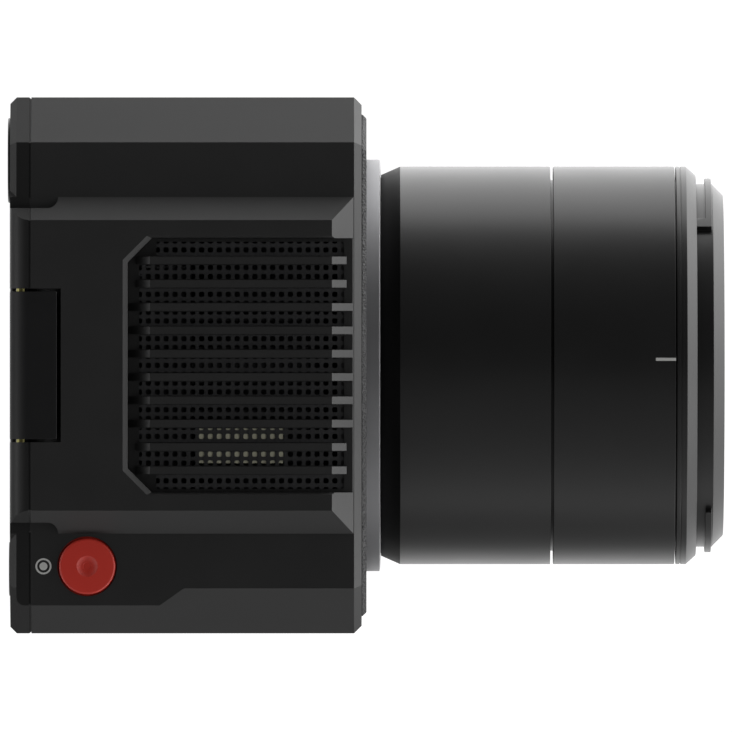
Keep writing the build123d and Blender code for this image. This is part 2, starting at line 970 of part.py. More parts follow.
socket_x = door_x + door_length / 2
dc_z = door_bottom + dc_rise
usb_z = door_bottom + usb_rise
audio_z = door_bottom + audio_rise
socket_face = half_width - socket_sink


def audio_places():
    """The two small sockets, side by side."""
    return [socket_x - audio_spacing / 2, socket_x + audio_spacing / 2]


def socket_cuts(y0, y1):
    """The holes for the sockets, through the panel or the wall behind it."""
    half_x, half_z = usb_width / 2 + fit, usb_height / 2 + fit
    cut = rod_y(dc_radius + fit, y0, y1, socket_x, dc_z)
    cut += block(socket_x - half_x, socket_x + half_x, y0, y1, usb_z - half_z, usb_z + half_z)
    for x in audio_places():
        cut += rod_y(audio_radius + fit, y0, y1, x, audio_z)
    return cut


def make_port_panel():
    """The panel that carries the sockets."""
    x0, x1 = door_x + fit, door_x + door_length - fit
    panel = block(x0, x1, hatch_face, half_width, door_bottom + fit, door_top - fit)
    panel = chamfer(panel.faces().sort_by(Axis.Y)[-1].edges(), panel_edge)
    return panel - socket_cuts(hatch_face - 1, half_width + 1)


def round_socket(radius, bore, x, z):
    """A round socket, with a collar that rests on the inside of the wall."""
    body = rod_y(radius, socket_face - socket_depth, socket_face, x, z)
    body += rod_y(radius + socket_collar, hatch_back - socket_collar, hatch_back, x, z)
    return body - rod_y(bore, socket_face - socket_hollow, socket_face + 1, x, z)


def make_dc_socket():
    """The round power inlet, with its middle pin."""
    body = round_socket(dc_radius, dc_bore, socket_x, dc_z)
    return body + rod_y(dc_pin_radius, socket_face - socket_hollow - 1, socket_face - 1, socket_x, dc_z)


def make_usb_socket():
    """The flat data socket, with its tongue and a foot on the inside of the wall."""
    half_x, half_z = usb_width / 2, usb_height / 2
    in_x, in_z = half_x - usb_wall, half_z - usb_wall
    tongue_x, tongue_z = in_x - 2 * usb_wall, usb_tongue / 2
    x, z = socket_x, usb_z
    end = socket_face - usb_depth
    body = block(x - half_x, x + half_x, end, socket_face, z - half_z, z + half_z)
    body -= block(x - in_x, x + in_x, end + 2, socket_face + 1, z - in_z, z + in_z)
    body += block(x - tongue_x, x + tongue_x, end + 1, socket_face - 1, z - tongue_z, z + tongue_z)
    foot = (hatch_back - socket_collar, hatch_back)
    return body + block(x - half_x - 1, x + half_x + 1, *foot, z - half_z - 1, z - in_z)


def make_audio_sockets():
    """Two small round sockets."""
    bodies = [round_socket(audio_radius, audio_bore, x, audio_z) for x in audio_places()]
    return Compound(children=[solid for body in bodies for solid in body.solids()])


# ---------------------------------------------------------------- casing


def case_screw_places():
    """The four corners where the front and back are screwed on."""
    places = []
    for y in (-case_screw_side, case_screw_side):
        places += [(y, case_screw_low), (y, case_screw_high)]
    return places


def make_main_shell(form):
    """The main shell, a thick-walled sleeve with the hump, wells, recesses and inlets."""
    shell = form & block(seam_x, shell_front_x, -far, far, -far, far)
    inner = prism_x(ridge_outline(wall), seam_x - 1, shell_front_x + 1)
    hollow = hump_form(wall, seam_x - 1, shell_front_x - wall) - hump_front_cut(wall)
    cavity = inner + hollow
    half_slot = flap_width / 2 + 2
    slot_x = flap_end_x + flap_gap + 3
    reach = math.hypot(flap_end_x - hinge_x, top_z - hinge_z) + 2
    cavity -= block(seam_x - 2, slot_x, -half_slot, half_slot, hinge_z - reach, top_z)
    cavity -= rec_well()
    for side in (-1, 1):
        cavity -= hatch_backing(side)
    for y, z in case_screw_places():
        side = 1 if y > 0 else -1
        y0, y1 = sorted((y, side * half_width))
        for x0 in (seam_x, shell_front_x - case_boss_length):
            x1 = x0 + case_boss_length
            cavity -= rod_x(case_boss_radius, x0, x1, y, z)
            cavity -= block(x0, x1, y0, y1, z - case_boss_radius, z + case_boss_radius)
    shell -= cavity
    shell -= prism_z(grille_outline(0), sheet_z, top_z + 2)
    shell -= recess_mouth()
    shell -= hinge_slot()
    shell -= screen_tray(fit)
    shell -= rec_well_cut()
    shell -= hatch_cut(1)
    shell -= hatch_cut(-1)
    shell -= socket_cuts(hatch_back - 2, half_width)
    shell -= block(card_x0, card_x1, -hatch_face - 1, 2 - hatch_back, card_z0, card_z1)
    shell -= make_door_pin()
    for index in range(vent_slots):
        z = vent_bottom + index * vent_pitch
        x0 = seam_x + vent_back_margin
        shell -= block(x0, x0 + vent_length, -far, far, z, z + vent_height)
    for y, z in case_screw_places():
        shell -= rod_x(case_screw_radius, seam_x - 1, seam_x + case_thread_depth, y, z)
        shell -= rod_x(case_screw_radius, shell_front_x - case_thread_depth, shell_front_x + 1, y, z)
    x0, x1, half = base_spigot()
    shell -= block(x0, x1, -half, half, bottom_z - 1, bottom_z + wall + 1)
    for x, y in base_screw_places():
        shell -= rod_z(case_screw_radius, bottom_z - 1, bottom_z + wall + 1, x, y)
    return shell


def make_rear_cover(form):
    """The rear cover, with the screen's tray, the hinge slot and the holes for the controls."""
    cover = form & block(back_x - 1, seam_x, -far, far, -far, far)
    cover += screen_tray(0)
    cover -= screen_recess()
    cover -= hinge_slot()
    cover -= make_hinge_pin()
    for y, z in standoff_places():
        cover += rod_x(standoff_radius, seam_x, board_x, y, z)
    cover -= rear_button_cut()
    cover -= dial_cut()
    for y, z in case_screw_places():
        cover -= rod_x(case_screw_radius, back_x - 1, seam_x + 1, y, z)
        cover -= rod_x(case_screw_head, back_x - 1, back_x + case_screw_sink, y, z)
    return cover


def case_screw(x, y, z):
    """One cap screw that points forward, with its head at x and a hex socket."""
    shank_x = x + case_screw_head_length
    screw = rod_x(case_screw_head - fit, x, shank_x, y, z)
    screw += rod_x(case_screw_radius, shank_x, shank_x + case_screw_length, y, z)
    hexagon = Plane.YZ.offset(x - 1) * (Pos(y, z) * RegularPolygon(case_screw_hex, 6))
    return screw - extrude(hexagon, 1 + case_screw_head_length / 2)


def make_rear_cover_screws():
    """Four screws that hold the rear cover."""
    head_x = back_x + case_screw_sink - case_screw_head_length
    screws = [case_screw(head_x, y, z) for y, z in case_screw_places()]
    return Compound(children=[s for screw in screws for s in screw.solids()])


def release_place():
    """The middle of the lens release button, as Y and Z."""
    return polar(release_reach, release_angle)


def lock_pin_place():
    """The middle of the pin that locks the lens, as Y and Z."""
    return polar(lock_pin_circle, release_angle)


def make_front_bezel():
    """The front plate, with the seat of the mount and the posts of the sensor chamber."""
    plate = prism_x(ridge_outline(0), shell_front_x, bezel_x)
    plate = chamfer(plate.faces().sort_by(Axis.X)[-1].edges(), bezel_chamfer)
    rib_x = shell_front_x - bezel_rib
    plate += rod_x(bezel_rib_radius, rib_x, shell_front_x, 0, axis_z)
    for y, z in chamber_posts():
        plate += rod_x(post_radius, chamber_front_x, shell_front_x, y, z)
    plate -= rod_x(bezel_opening_radius, rib_x - 1, bezel_x + 1, 0, axis_z)
    half = contact_block_width / 2 + clearance
    low, high = contact_foot_z - clearance, axis_z - throat_radius + 1
    plate -= block(rib_x - 1, shell_front_x, -half, half, low, high)
    reach = release_reach + release_stem_radius + clearance
    half = release_arm_width / 2 + clearance
    arm = Pos(0, 0, axis_z) * Rot(release_angle, 0, 0)
    plate -= arm * block(rib_x - 1, shell_front_x, throat_radius - 1, reach, -half, half)
    plate -= rod_x(lock_pin_radius + slide_fit, shell_front_x - 1, bezel_x + 1, *lock_pin_place())
    plate -= rod_x(release_radius + clearance, shell_front_x - 1, bezel_x + 1, *release_place())
    for y, z in mount_screw_places():
        plate -= rod_x(mount_screw_radius, rib_x - 1, bezel_x + 1, y, z)
    for y, z in case_screw_places():
        plate -= rod_x(case_screw_radius, shell_front_x - 1, bezel_x + 1, y, z)
    return plate


def make_bezel_screws():
    """Four flat screws that hold the front plate, under the front cover."""
    screws = []
    for y, z in case_screw_places():
        screws.append(rod_x(case_screw_radius, shell_front_x - case_thread_depth, bezel_x, y, z))
    return Compound(children=[s for screw in screws for s in screw.solids()])


def make_front_cover():
    """The grained front cover, with openings for the mount boss and the release button."""
    cover = prism_x(ridge_outline(front_cover_inset), bezel_x, cover_x)
    cover = chamfer(cover.faces().sort_by(Axis.X)[-1].edges(), front_cover_chamfer)
    cover -= rod_x(boss_radius + slide_fit, bezel_x - 1, cover_x + 1, 0, axis_z)
    return cover - rod_x(release_radius + clearance, bezel_x - 1, cover_x + 1, *release_place())


def base_spigot():
    """The ends and half width of the step under the base plate's middle."""
    x0 = base_x0() + base_spigot_margin
    return x0, base_x0() + base_length - base_spigot_margin, base_width / 2 - base_spigot_margin


def base_x0():
    """The back end of the base plate."""
    return shell_front_x - base_front_margin - base_length


def base_screw_places():
    """The four corners of the base plate."""
    inset = base_spigot_margin / 2
    places = []
    for x in (base_x0() + inset, base_x0() + base_length - inset):
        places += [(x, -base_width / 2 + inset), (x, base_width / 2 - inset)]
    return places


def make_base_plate():
    """The base plate, with a tripod thread and two locating holes."""
    x0 = base_x0()
    plate = block(x0, x0 + base_length, -base_width / 2, base_width / 2, 0, base_flange)
    plate = fillet(plate.edges().filter_by(Axis.Z), base_corner_radius)
    plate = chamfer(plate.faces().sort_by(Axis.Z)[0].edges(), base_edge)
    s0, s1, half = base_spigot()
    plate += block(s0 + fit, s1 - fit, -half + fit, half - fit, base_flange, bottom_z + wall)
    middle = x0 + base_length / 2
    plate += rod_z(base_boss_radius, bottom_z + wall, base_thread_depth + base_thread_end, middle, 0)
    plate -= rod_z(base_thread_radius, -1, base_thread_depth, middle, 0)
    for x in (middle - locating_hole_spacing / 2, middle + locating_hole_spacing / 2):
        plate -= rod_z(locating_hole_radius, -1, locating_hole_depth, x, 0)
    for x, y in base_screw_places():
        plate -= rod_z(case_screw_radius, -1, base_flange + 1, x, y)
        plate -= Pos(x, y, 0.5) * Cone(base_screw_hole, case_screw_radius, 1.0)
    return plate


def make_base_screws():
    """Four flat-headed screws in the base plate."""
    screws = []
    for x, y in base_screw_places():
        screw = rod_z(case_screw_radius, 0.2, bottom_z + wall + 1, x, y)
        screw += Pos(x, y, 0.6) * Cone(base_screw_head, case_screw_radius, 0.8)
        screws.append(screw)
    return Compound(children=[s for screw in screws for s in screw.solids()])


# ---------------------------------------------------------------- grille


def bar_places():
    """The middle of each bar, across the camera."""
    return [(index - (bar_count - 1) / 2) * bar_pitch for index in range(bar_count)]


def make_grille():
    """The louvre grille: a sunken floor with long slots, and ten bars that slope at both ends."""
    floor = prism_z(grille_outline(-fit), grille_floor_z - grille_floor, grille_floor_z)
    floor &= block(grille_x - 1, shell_front_x, -far, far, 0, far)
    grille = floor
    slot_x1 = shell_front_x - slot_front_margin
    slot_x0 = slot_x1 - slot_length
    for index in range(bar_count + 1):
        start = slot_x0 + (outer_slot_start if index in (0, bar_count) else 0)
        y = (index - bar_count / 2) * bar_pitch
        slot = RectangleRounded(slot_x1 - start, slot_width, slot_corner)
        slot = Plane.XY.offset(grille_floor_z - 3) * Pos((start + slot_x1) / 2, y) * slot
        grille -= extrude(slot, 4)
    for y in bar_places():
        outer = abs(y) > bar_pitch * 3
        x0 = grille_x + (outer_bar_start if outer else 0)
        x1 = shell_front_x - (outer_bar_end if outer else 0)
        points = [
            (x0, grille_floor_z - bar_root),
            (x0, top_z - grille_depth + (x0 - grille_x)),
            (grille_x + grille_depth, top_z),
            (shell_front_x - hump_front_run, top_z),
            (x1, ridge_z + (shell_front_x - x1) * hump_height / hump_front_run),
            (x1, grille_floor_z - bar_root),
        ]
        grille += prism_y(points, y - bar_thickness / 2, y + bar_thickness / 2)
    grille &= prism_z(grille_outline(-fit), 0, far)
    return grille - hump_front_cut(0)


def make_sheet():
    """The perforated sheet under the grille."""
    sheet = prism_z(grille_outline(-fit), sheet_z, sheet_z + sheet_thickness)
    sheet &= block(grille_x - 1, shell_front_x - sheet_front_margin, -far, far, 0, far)
    columns = int((slot_length - 1) // sheet_pitch)
    rows = int((grille_width - 2 * sheet_margin) // sheet_pitch)
    x0 = shell_front_x - slot_front_margin - slot_length + sheet_pitch
    holes = []
    for column in range(columns):
        for row in range(rows):
            y = (row - (rows - 1) / 2) * sheet_pitch
            holes.append(Pos(x0 + column * sheet_pitch, y) * Rectangle(sheet_hole, sheet_hole))
    cut = extrude(Plane.XY.offset(sheet_z - 1) * Sketch(children=holes), sheet_thickness + 2)
    return sheet - cut


# ---------------------------------------------------------------- mount and release


def mount_screw_places():
    """The four screws in the mount ring."""
    return [polar(mount_screw_circle_radius, angle) for angle in (20, 110, 200, 290)]


def make_mount_boss():
    """The turned boss round the mount, rounded towards the lens by three bevels."""
    drop = boss_radius - boss_front_radius
    rise = flange_x - cover_x
    profile = [
        (bezel_x, mount_ring_radius + fit),
        (bezel_x, boss_radius),
        (cover_x + rise * 0.1, boss_radius),
        (cover_x + rise * 0.55, boss_radius - drop * 0.2),
        (cover_x + rise * 0.85, boss_radius - drop * 0.55),
        (flange_x, boss_front_radius),
        (flange_x, mount_ring_radius + fit),
    ]
    return turned(profile)


def make_mount_ring():
    """The bayonet ring of the camera, with three lugs."""
    ring = tube_x(mount_ring_radius, throat_radius, bezel_x, flange_x, 0, axis_z)
    lug_x1 = flange_x - 0.2
    lug_x0 = lug_x1 - lug_thickness
    root = throat_radius + 0.5
    lug = [(lug_x0, bayonet_bore_radius), (lug_x1, bayonet_bore_radius), (lug_x1, root), (lug_x0, root)]
    for middle in bayonet_angles:
        ring += turned_arc(lug, middle, lug_half_angle)
    for y, z in mount_screw_places():
        ring -= rod_x(mount_screw_radius, bezel_x - 1, flange_x + 1, y, z)
        ring -= rod_x(mount_screw_head, flange_x - mount_screw_sink, flange_x + 1, y, z)
    return ring - rod_x(lock_pin_radius + slide_fit, bezel_x - 1, flange_x + 1, *lock_pin_place())


def make_mount_screws():
    """Four small screws in the mount ring, with crossed slots."""
    solids = []
    seat_x, head_x = flange_x - mount_screw_sink, flange_x - slide_fit
    long, short = mount_screw_head * 0.7, mount_screw_head * 0.13
    for y, z in mount_screw_places():
        screw = rod_x(mount_screw_radius, shell_front_x - bezel_rib, seat_x, y, z)
        screw += rod_x(mount_screw_head - fit, seat_x, head_x, y, z)
        for half_y, half_z in ((long, short), (short, long)):
            screw -= block((seat_x + head_x) / 2, flange_x, y - half_y, y + half_y, z - half_z, z + half_z)
        solids += screw.solids()
    return Compound(children=solids)


contact_foot_z = axis_z - contact_foot_drop
contact_seat_z = axis_z - bayonet_bore_radius + 2


def make_mount_contacts():
    """The contact block at the foot of the throat, with its row of pins."""
    half = contact_block_width / 2
    x1 = shell_front_x + clearance
    top = axis_z - contact_circle + 2 * contact_pin_radius
    body = block(x1 - contact_block_depth, x1, -half, half, axis_z - bayonet_bore_radius, top)
    body &= rod_x(bayonet_bore_radius - clearance, x1 - contact_block_depth, x1, 0, axis_z)
    foot_x = shell_front_x - bezel_rib + clearance
    body += block(foot_x, shell_front_x, -half, half, contact_foot_z, contact_seat_z)
    for index in range(contact_pins):
        y = (index - (contact_pins - 1) / 2) * contact_pitch
        body += rod_x(contact_pin_radius, shell_front_x, x1 + contact_pin_proud, y, axis_z - contact_circle)
    return body


release_arm_x = shell_front_x - clearance - release_arm_thickness


def make_release_button():
    """The lens release button on the front, with its stem."""
    face = cover_x + release_proud
    back = shell_front_x + release_travel
    cap = rod_x(release_radius, back, face, *release_place())
    cap = chamfer(cap.edges().sort_by(Axis.X)[-1], release_edge)
    return cap + rod_x(release_stem_radius, release_arm_x + release_arm_thickness, back, *release_place())


def make_lock_pin():
    """The arm behind the front plate, with the pin that locks the lens."""
    x0, x1 = release_arm_x, release_arm_x + release_arm_thickness
    half = release_arm_width / 2
    inner, outer = lock_pin_circle - 2 * lock_pin_radius, release_reach + release_stem_radius
    arm = block(x0, x1, inner, outer, -half, half)
    arm = Pos(0, 0, axis_z) * Rot(release_angle, 0, 0) * arm
    return arm + rod_x(lock_pin_radius, x0, flange_x + lock_pin_proud, *lock_pin_place())


# ---------------------------------------------------------------- cooling


def centred(x0, x1, width, height):
    """A block in the middle of the camera, at the height of the lens."""
    return block(x0, x1, -width / 2, width / 2, axis_z - height / 2, axis_z + height / 2)


def four_places(side, rise, height):
    """Four places round a middle, as Y and Z."""
    return [(y, height + dz) for y in (-side, side) for dz in (-rise, rise)]


def chamber_posts():
    """The four posts between the front plate and the sensor chamber."""
    return four_places(post_side, post_rise, axis_z)


def make_sensor_chamber():
    """The sealed frame round the sensor, open at the back, with a window seat in front."""
    frame = centred(chamber_x, chamber_front_x, chamber_width, chamber_height)
    in_width, in_height = chamber_width - 2 * chamber_wall, chamber_height - 2 * chamber_wall
    frame -= centred(chamber_x - 1, chamber_front_x - window_seat, in_width, in_height)
    lip = 2 * window_lip
    return frame - centred(chamber_x, chamber_front_x + 1, window_width - lip, window_height - lip)


def make_window():
    """The clear window of the sensor chamber."""
    x1 = chamber_front_x - window_seat
    return centred(x1 - window_thickness, x1, window_width, window_height)


def make_sensor():
    """The image sensor."""
    return centred(sensor_x - sensor_thickness, sensor_x, sensor_width, sensor_height)


def make_sensor_board():
    """The board behind the sensor, with an opening for the cold pad."""
    x1 = sensor_x - sensor_thickness
    board = centred(sensor_board_x, x1, sensor_board_width, sensor_board_height)
    return board - centred(sensor_board_x - 1, x1 + 1, cold_pad_width + 1, cold_pad_height + 1)


def make_cold_plate():
    """The cold plate that closes the chamber and touches the back of the sensor."""
    plate = centred(cold_x, chamber_x, chamber_width, chamber_height)
    plate += centred(chamber_x, sensor_x - sensor_thickness, cold_pad_width, cold_pad_height)
    for y, z in four_places(cold_pin_side, cold_pin_rise, axis_z):
        plate += rod_x(cold_pin_radius, chamber_x, sensor_board_x, y, z)
    return plate


def make_cooler():
    """The thermoelectric module: two ceramic faces and the pellets between."""
    module = centred(cooler_x, cooler_x + ceramic_thickness, cooler_size, cooler_size)
    module += centred(cold_x - ceramic_thickness, cold_x, cooler_size, cooler_size)
    pitch = cooler_size / pellets
    pellet = centred(cooler_x + ceramic_thickness, cold_x - ceramic_thickness, pellet_size, pellet_size)
    for row in range(pellets):
        for column in range(pellets):
            module += Pos(0, (row - (pellets - 1) / 2) * pitch, (column - (pellets - 1) / 2) * pitch) * pellet
    return module


def make_heat_sink():
    """The heat sink: a hot plate, a shelf over the chamber and fins that run forward."""
    half = hot_plate_width / 2
    low = axis_z - sink_foot
    shelf_x1 = fin_x + fin_top_length
    sink = block(hot_x, cooler_x, -half, half, low, slab_z + sink_slab)
    sink += block(hot_x, shelf_x1, -half, half, slab_z, slab_z + sink_slab)
    pitch = (hot_plate_width - fin_thickness) / (fin_count - 1)
    points = [
        (fin_x, low),
        (hot_x, low),
        (hot_x, slab_z + sink_slab),
        (shelf_x1, slab_z + sink_slab),
        (shelf_x1, fin_top),
        (fin_x, fin_top),
    ]
    for index in range(fin_count):
        y = (index - (fin_count - 1) / 2) * pitch
        sink += prism_y(points, y - fin_thickness / 2, y + fin_thickness / 2)
    return sink - light_block(fin_top + 1)


def light_block(top):
    """The block in the fins behind the outlet, up to a height."""
    x0 = fin_x + block_margin
    half = block_width / 2
    return block(x0, x0 + block_length, -block_side - half, half - block_side, fin_top - block_drop, top)


def make_thermistor_block():
    """A bare metal block set in the fins, which carries the temperature probe."""
    return light_block(sheet_z - block_sheet_gap)


def fan_screw_places():
    """The four corners of the fan."""
    return four_places(fan_screw_spacing / 2, fan_screw_spacing / 2, fan_axis_height)


def make_fan_frame():
    """The square fan frame, with a bore, four struts and the motor's seat."""
    half = fan_size / 2
    z = fan_axis_height
    frame = block(fan_x, fin_x, -half, half, z - half, z + half)
    frame = fillet(frame.edges().filter_by(Axis.X), fan_corner)
    frame -= rod_x(fan_bore_radius, fan_x - 1, fin_x + 1, 0, z)
    strut_x = fan_x + fan_strut
    bar = block(fan_x, strut_x, 0, fan_bore_radius + 0.5, -fan_strut_width / 2, fan_strut_width / 2)
    frame += rod_x(fan_hub_radius, fan_x, strut_x, 0, z)
    for angle in (45, 135, 225, 315):
        frame += Pos(0, 0, z) * Rot(angle, 0, 0) * bar
    frame += rod_x(fan_bearing_radius, fan_x, fan_x + fan_bearing_length, 0, z)
    frame -= rod_x(fan_shaft_radius + fit, fan_x + fan_tip_gap, fin_x, 0, z)
    for y, z in fan_screw_places():
        frame -= rod_x(fan_screw_hole, fan_x - 1, fin_x + 1, y, z)
    return frame


def make_fan_screws():
    """Four long screws that hold the fan to the heat sink."""
    solids = []
    for y, z in fan_screw_places():
        screw = rod_x(fan_screw_hole - fit, fan_x, fin_x, y, z)
        screw += rod_x(fan_screw_head, fan_x - fan_screw_hole, fan_x, y, z)
        solids += screw.solids()
    return Compound(children=solids)


def make_fan_rotor():
    """The fan rotor: a cup hub on a shaft, with pitched blades."""
    x0, x1 = fan_x + fan_back_gap, fin_x - fan_front_gap
    z = fan_axis_height
    rotor = rod_x(fan_hub_radius, x0, x1, 0, z) - rod_x(fan_hub_radius - 1, x0 - 1, x1 - 1, 0, z)
    rotor += rod_x(fan_shaft_radius, fan_x + fan_tip_gap + clearance, x1, 0, z)
    tip = fan_bore_radius - fan_tip_gap
    sweep = tube_x(tip, fan_hub_radius - 0.5, x0, x1, 0, z)
    span = tip - fan_hub_radius + 5
    blade = Box(fan_depth + 1, span, fan_blade_thickness)
    blade = Pos((x0 + x1) / 2, (tip + fan_hub_radius) / 2, 0) * Rot(0, fan_blade_angle, 0) * blade
    for index in range(fan_blades):
        turn = Pos(0, 0, z) * Rot(index * 360 / fan_blades, 0, 0)
        rotor += (turn * blade) & sweep
    return rotor


def standoff_places():
    """The four posts that carry the main board."""
    return [(y, z) for y in (-standoff_side, standoff_side) for z in (standoff_low, standoff_high)]


def make_main_board():
    """The main board across the back of the camera, with its larger chips."""
    half = board_width / 2
    front = board_x + board_thickness
    board = block(board_x, front, -half, half, board_bottom, board_top)
    for y, size in ((-chip_side, chip_size / 2), (0, chip_size), (chip_side, chip_size / 2)):
        chip = Box(chip_height, size, size)
        board += Pos(front + chip_height / 2, y, chip_middle) * chip
    return board


# ---------------------------------------------------------------- lens

barrel_bore = barrel_radius - barrel_wall
sleeve_radius = barrel_bore - clearance
sleeve_bore = sleeve_radius - sleeve_wall
sleeve_end_x = focus_end_x - 0.8
flange_ring_end_x = flange_x + lens_flange_thickness
tab_radius = throat_radius - clearance
neck_tube_radius = bayonet_bore_radius - clearance
tube_end_x = bezel_x + mount_face_gap
cell_x = sleeve_end_x - front_cell_overlap
nose_bore = filter_bore_radius + 0.4


def make_lens_flange():
    """The lens's steel bayonet: a ring, a short tube and three tabs."""
    face = flange_x + mount_face_gap
    ring = tube_x(mount_ring_radius, lens_throat_radius, face, flange_ring_end_x, 0, axis_z)
    ring += tube_x(neck_tube_radius, lens_throat_radius, tube_end_x, face + 0.5, 0, axis_z)
    x0, x1 = tube_end_x, tube_end_x + tab_thickness
    root = neck_tube_radius - 0.4
    tab = [(x0, root), (x1, root), (x1, tab_radius), (x0, tab_radius)]
    for middle in bayonet_angles:
        ring += turned_arc(tab, middle, tab_half_angle)
    low, high = lock_pin_circle - lock_pin_radius - clearance, lock_pin_circle + lock_pin_radius + clearance
    x0, x1 = face - 1, flange_x + lock_pin_proud + clearance
    slot = [(x0, low), (x1, low), (x1, high), (x0, high)]
    return ring - turned_arc(slot, release_angle - twist_angle / 2, twist_angle / 2 + 4)


def make_lens_contacts():
    """The contact block in the rear of the lens."""
    half = contact_block_width / 2
    x1 = tube_end_x + contact_block_depth
    low = axis_z - lens_throat_radius
    body = block(tube_end_x, x1, -half, half, low, low + contact_block_rise)
    return body & rod_x(lens_throat_radius, tube_end_x, x1, 0, axis_z)


def make_rear_barrel():
    """The rear barrel, with a bevel at the camera and the sleeve that the focus ring turns on."""
    web = flange_ring_end_x + barrel_web
    step = rear_barrel_end_x - sleeve_root
    profile = [
        (lens_back_x, mount_ring_radius + fit),
        (lens_back_x, barrel_radius - rear_bevel_depth),
        (lens_back_x + rear_bevel_length, barrel_radius),
        (rear_barrel_end_x, barrel_radius),
        (rear_barrel_end_x, sleeve_radius),
        (sleeve_end_x, sleeve_radius),
        (sleeve_end_x, sleeve_bore),
        (step, sleeve_bore),
        (step - sleeve_wall, barrel_bore),
        (web, barrel_bore),
        (web, core_radius + fit),
        (flange_ring_end_x, core_radius + fit),
        (flange_ring_end_x, mount_ring_radius + fit),
    ]
    return turned(profile)


def make_focus_ring():
    """The smooth focus ring."""
    profile = [
        (focus_x, barrel_bore),
        (focus_x, barrel_radius - ring_edge),
        (focus_x + ring_edge, barrel_radius),
        (focus_end_x - ring_edge, barrel_radius),
        (focus_end_x, barrel_radius - ring_edge),
        (focus_end_x, barrel_bore),
    ]
    return turned(profile)


def make_nose():
    """The front barrel, with a bevel, a neck and the two lugs of the hood's bayonet."""
    groove = nose_groove
    groove_x = nose_x + nose_groove_place
    plug = sleeve_bore - fit
    profile = [
        (cell_x, nose_bore),
        (cell_x, plug),
        (sleeve_end_x, plug),
        (sleeve_end_x, sleeve_radius),
        (nose_x, sleeve_radius),
        (nose_x, barrel_radius),
        (groove_x, barrel_radius),
        (groove_x, barrel_radius - groove),
        (groove_x + groove, barrel_radius - groove),
        (groove_x + groove, barrel_radius),
        (nose_rim_x, barrel_radius),
        (neck_x, barrel_radius - nose_bevel_depth),
        (neck_x, neck_radius),
        (front_ring_x, neck_radius),
        (front_ring_x, nose_bore),
    ]
    nose = turned(profile)
    root = neck_radius - 0.5
    lug_x1 = front_ring_x - clearance
    lug_x0 = lug_x1 - hood_lug_length
    stop_x0 = neck_x - 0.1
    lug = [(lug_x0, root), (lug_x1, root), (lug_x1, hood_lug_radius), (lug_x0, hood_lug_radius)]
    stop = [(stop_x0, root), (lug_x1, root), (lug_x1, hood_lug_radius), (stop_x0, hood_lug_radius)]
    for middle in (0, 180):
        nose += turned_arc(lug, middle, hood_lug_half_angle)
        nose += turned_arc(stop, middle + hood_lug_half_angle + hood_stop_angle / 2, hood_stop_angle / 2)
    return nose


def make_front_ring():
    """The ring at the tip of the lens, with the filter thread in it."""
    profile = [
        (front_ring_x, filter_bore_radius),
        (front_ring_x, front_ring_radius),
        (front_ring_x + 0.5, front_ring_radius),
        (lens_front_x - 0.2, front_ring_tip_radius + 0.2),
        (lens_front_x, front_ring_tip_radius),
        (lens_front_x, filter_bore_radius),
    ]
    return turned(profile)


def make_lens_core():
    """The tube that holds the glass, stepped for the rear element."""
    x0 = flange_ring_end_x
    profile = [
        (x0, rear_lens_seat),
        (x0, core_radius),
        (cell_x, core_radius),
        (cell_x, core_bore_radius),
        (x0 + rear_lens_length, core_bore_radius),
        (x0 + rear_lens_length, rear_lens_radius + fit),
        (x0 + seat_step, rear_lens_radius + fit),
        (x0 + seat_step, rear_lens_seat),
    ]
    return turned(profile)


def make_rear_glass():
    """The rear element, flat on both sides, with bevelled edges."""
    x0 = flange_ring_end_x + seat_step
    x1 = x0 + rear_lens_length - seat_step
    edge = rear_lens_radius - seat_step
    profile = [(x0, 0), (x0, rear_lens_radius), (x1 - seat_step, rear_lens_radius), (x1, edge), (x1, 0)]
    return turned(profile)


def make_iris_housing():
    """The housing of the iris, with its blades drawn back inside."""
    x0 = flange_ring_end_x + rear_lens_length
    return tube_x(core_bore_radius - fit, iris_opening, x0, x0 + iris_length, 0, axis_z)


iris_end_x = flange_ring_end_x + rear_lens_length + iris_length
focus_cell_x = iris_end_x + focus_travel + focus_cell_gap


def make_focus_cell():
    """The cell that slides in the tube when the lens is focused."""
    x0 = focus_cell_x
    x1 = x0 + focus_cell_length
    profile = [
        (x0, focus_lens_seat),
        (x0, core_bore_radius - slide_fit),
        (x1, core_bore_radius - slide_fit),
        (x1, focus_lens_radius + fit),
        (x0 + seat_step, focus_lens_radius + fit),
        (x0 + seat_step, focus_lens_seat),
    ]
    return turned(profile)


def make_focus_glass():
    """The element in the focus cell, flat on both sides, with a bevelled front edge."""
    x0 = focus_cell_x + seat_step
    x1 = focus_cell_x + focus_cell_length - seat_step
    edge = focus_lens_radius - seat_step
    profile = [(x0, 0), (x0, focus_lens_radius), (x1 - seat_step, focus_lens_radius), (x1, edge), (x1, 0)]
    return turned(profile)


def make_front_cell():
    """The cell of the front element, flared towards the filter thread."""
    front = front_ring_x - front_cell_recess
    seat = cell_x + front_cell_wall
    bore = front_lens_radius + fit
    profile = [
        (cell_x, core_bore_radius),
        (cell_x, nose_bore - fit),
        (front, nose_bore - fit),
        (front, filter_bore_radius - front_cell_lip),
        (front - front_lens_seat_depth, bore),
        (seat, bore),
        (seat, front_lens_seat),
        (cell_x + front_cell_recess, front_lens_seat),
        (cell_x + front_cell_recess, core_bore_radius),
    ]
    return turned(profile)


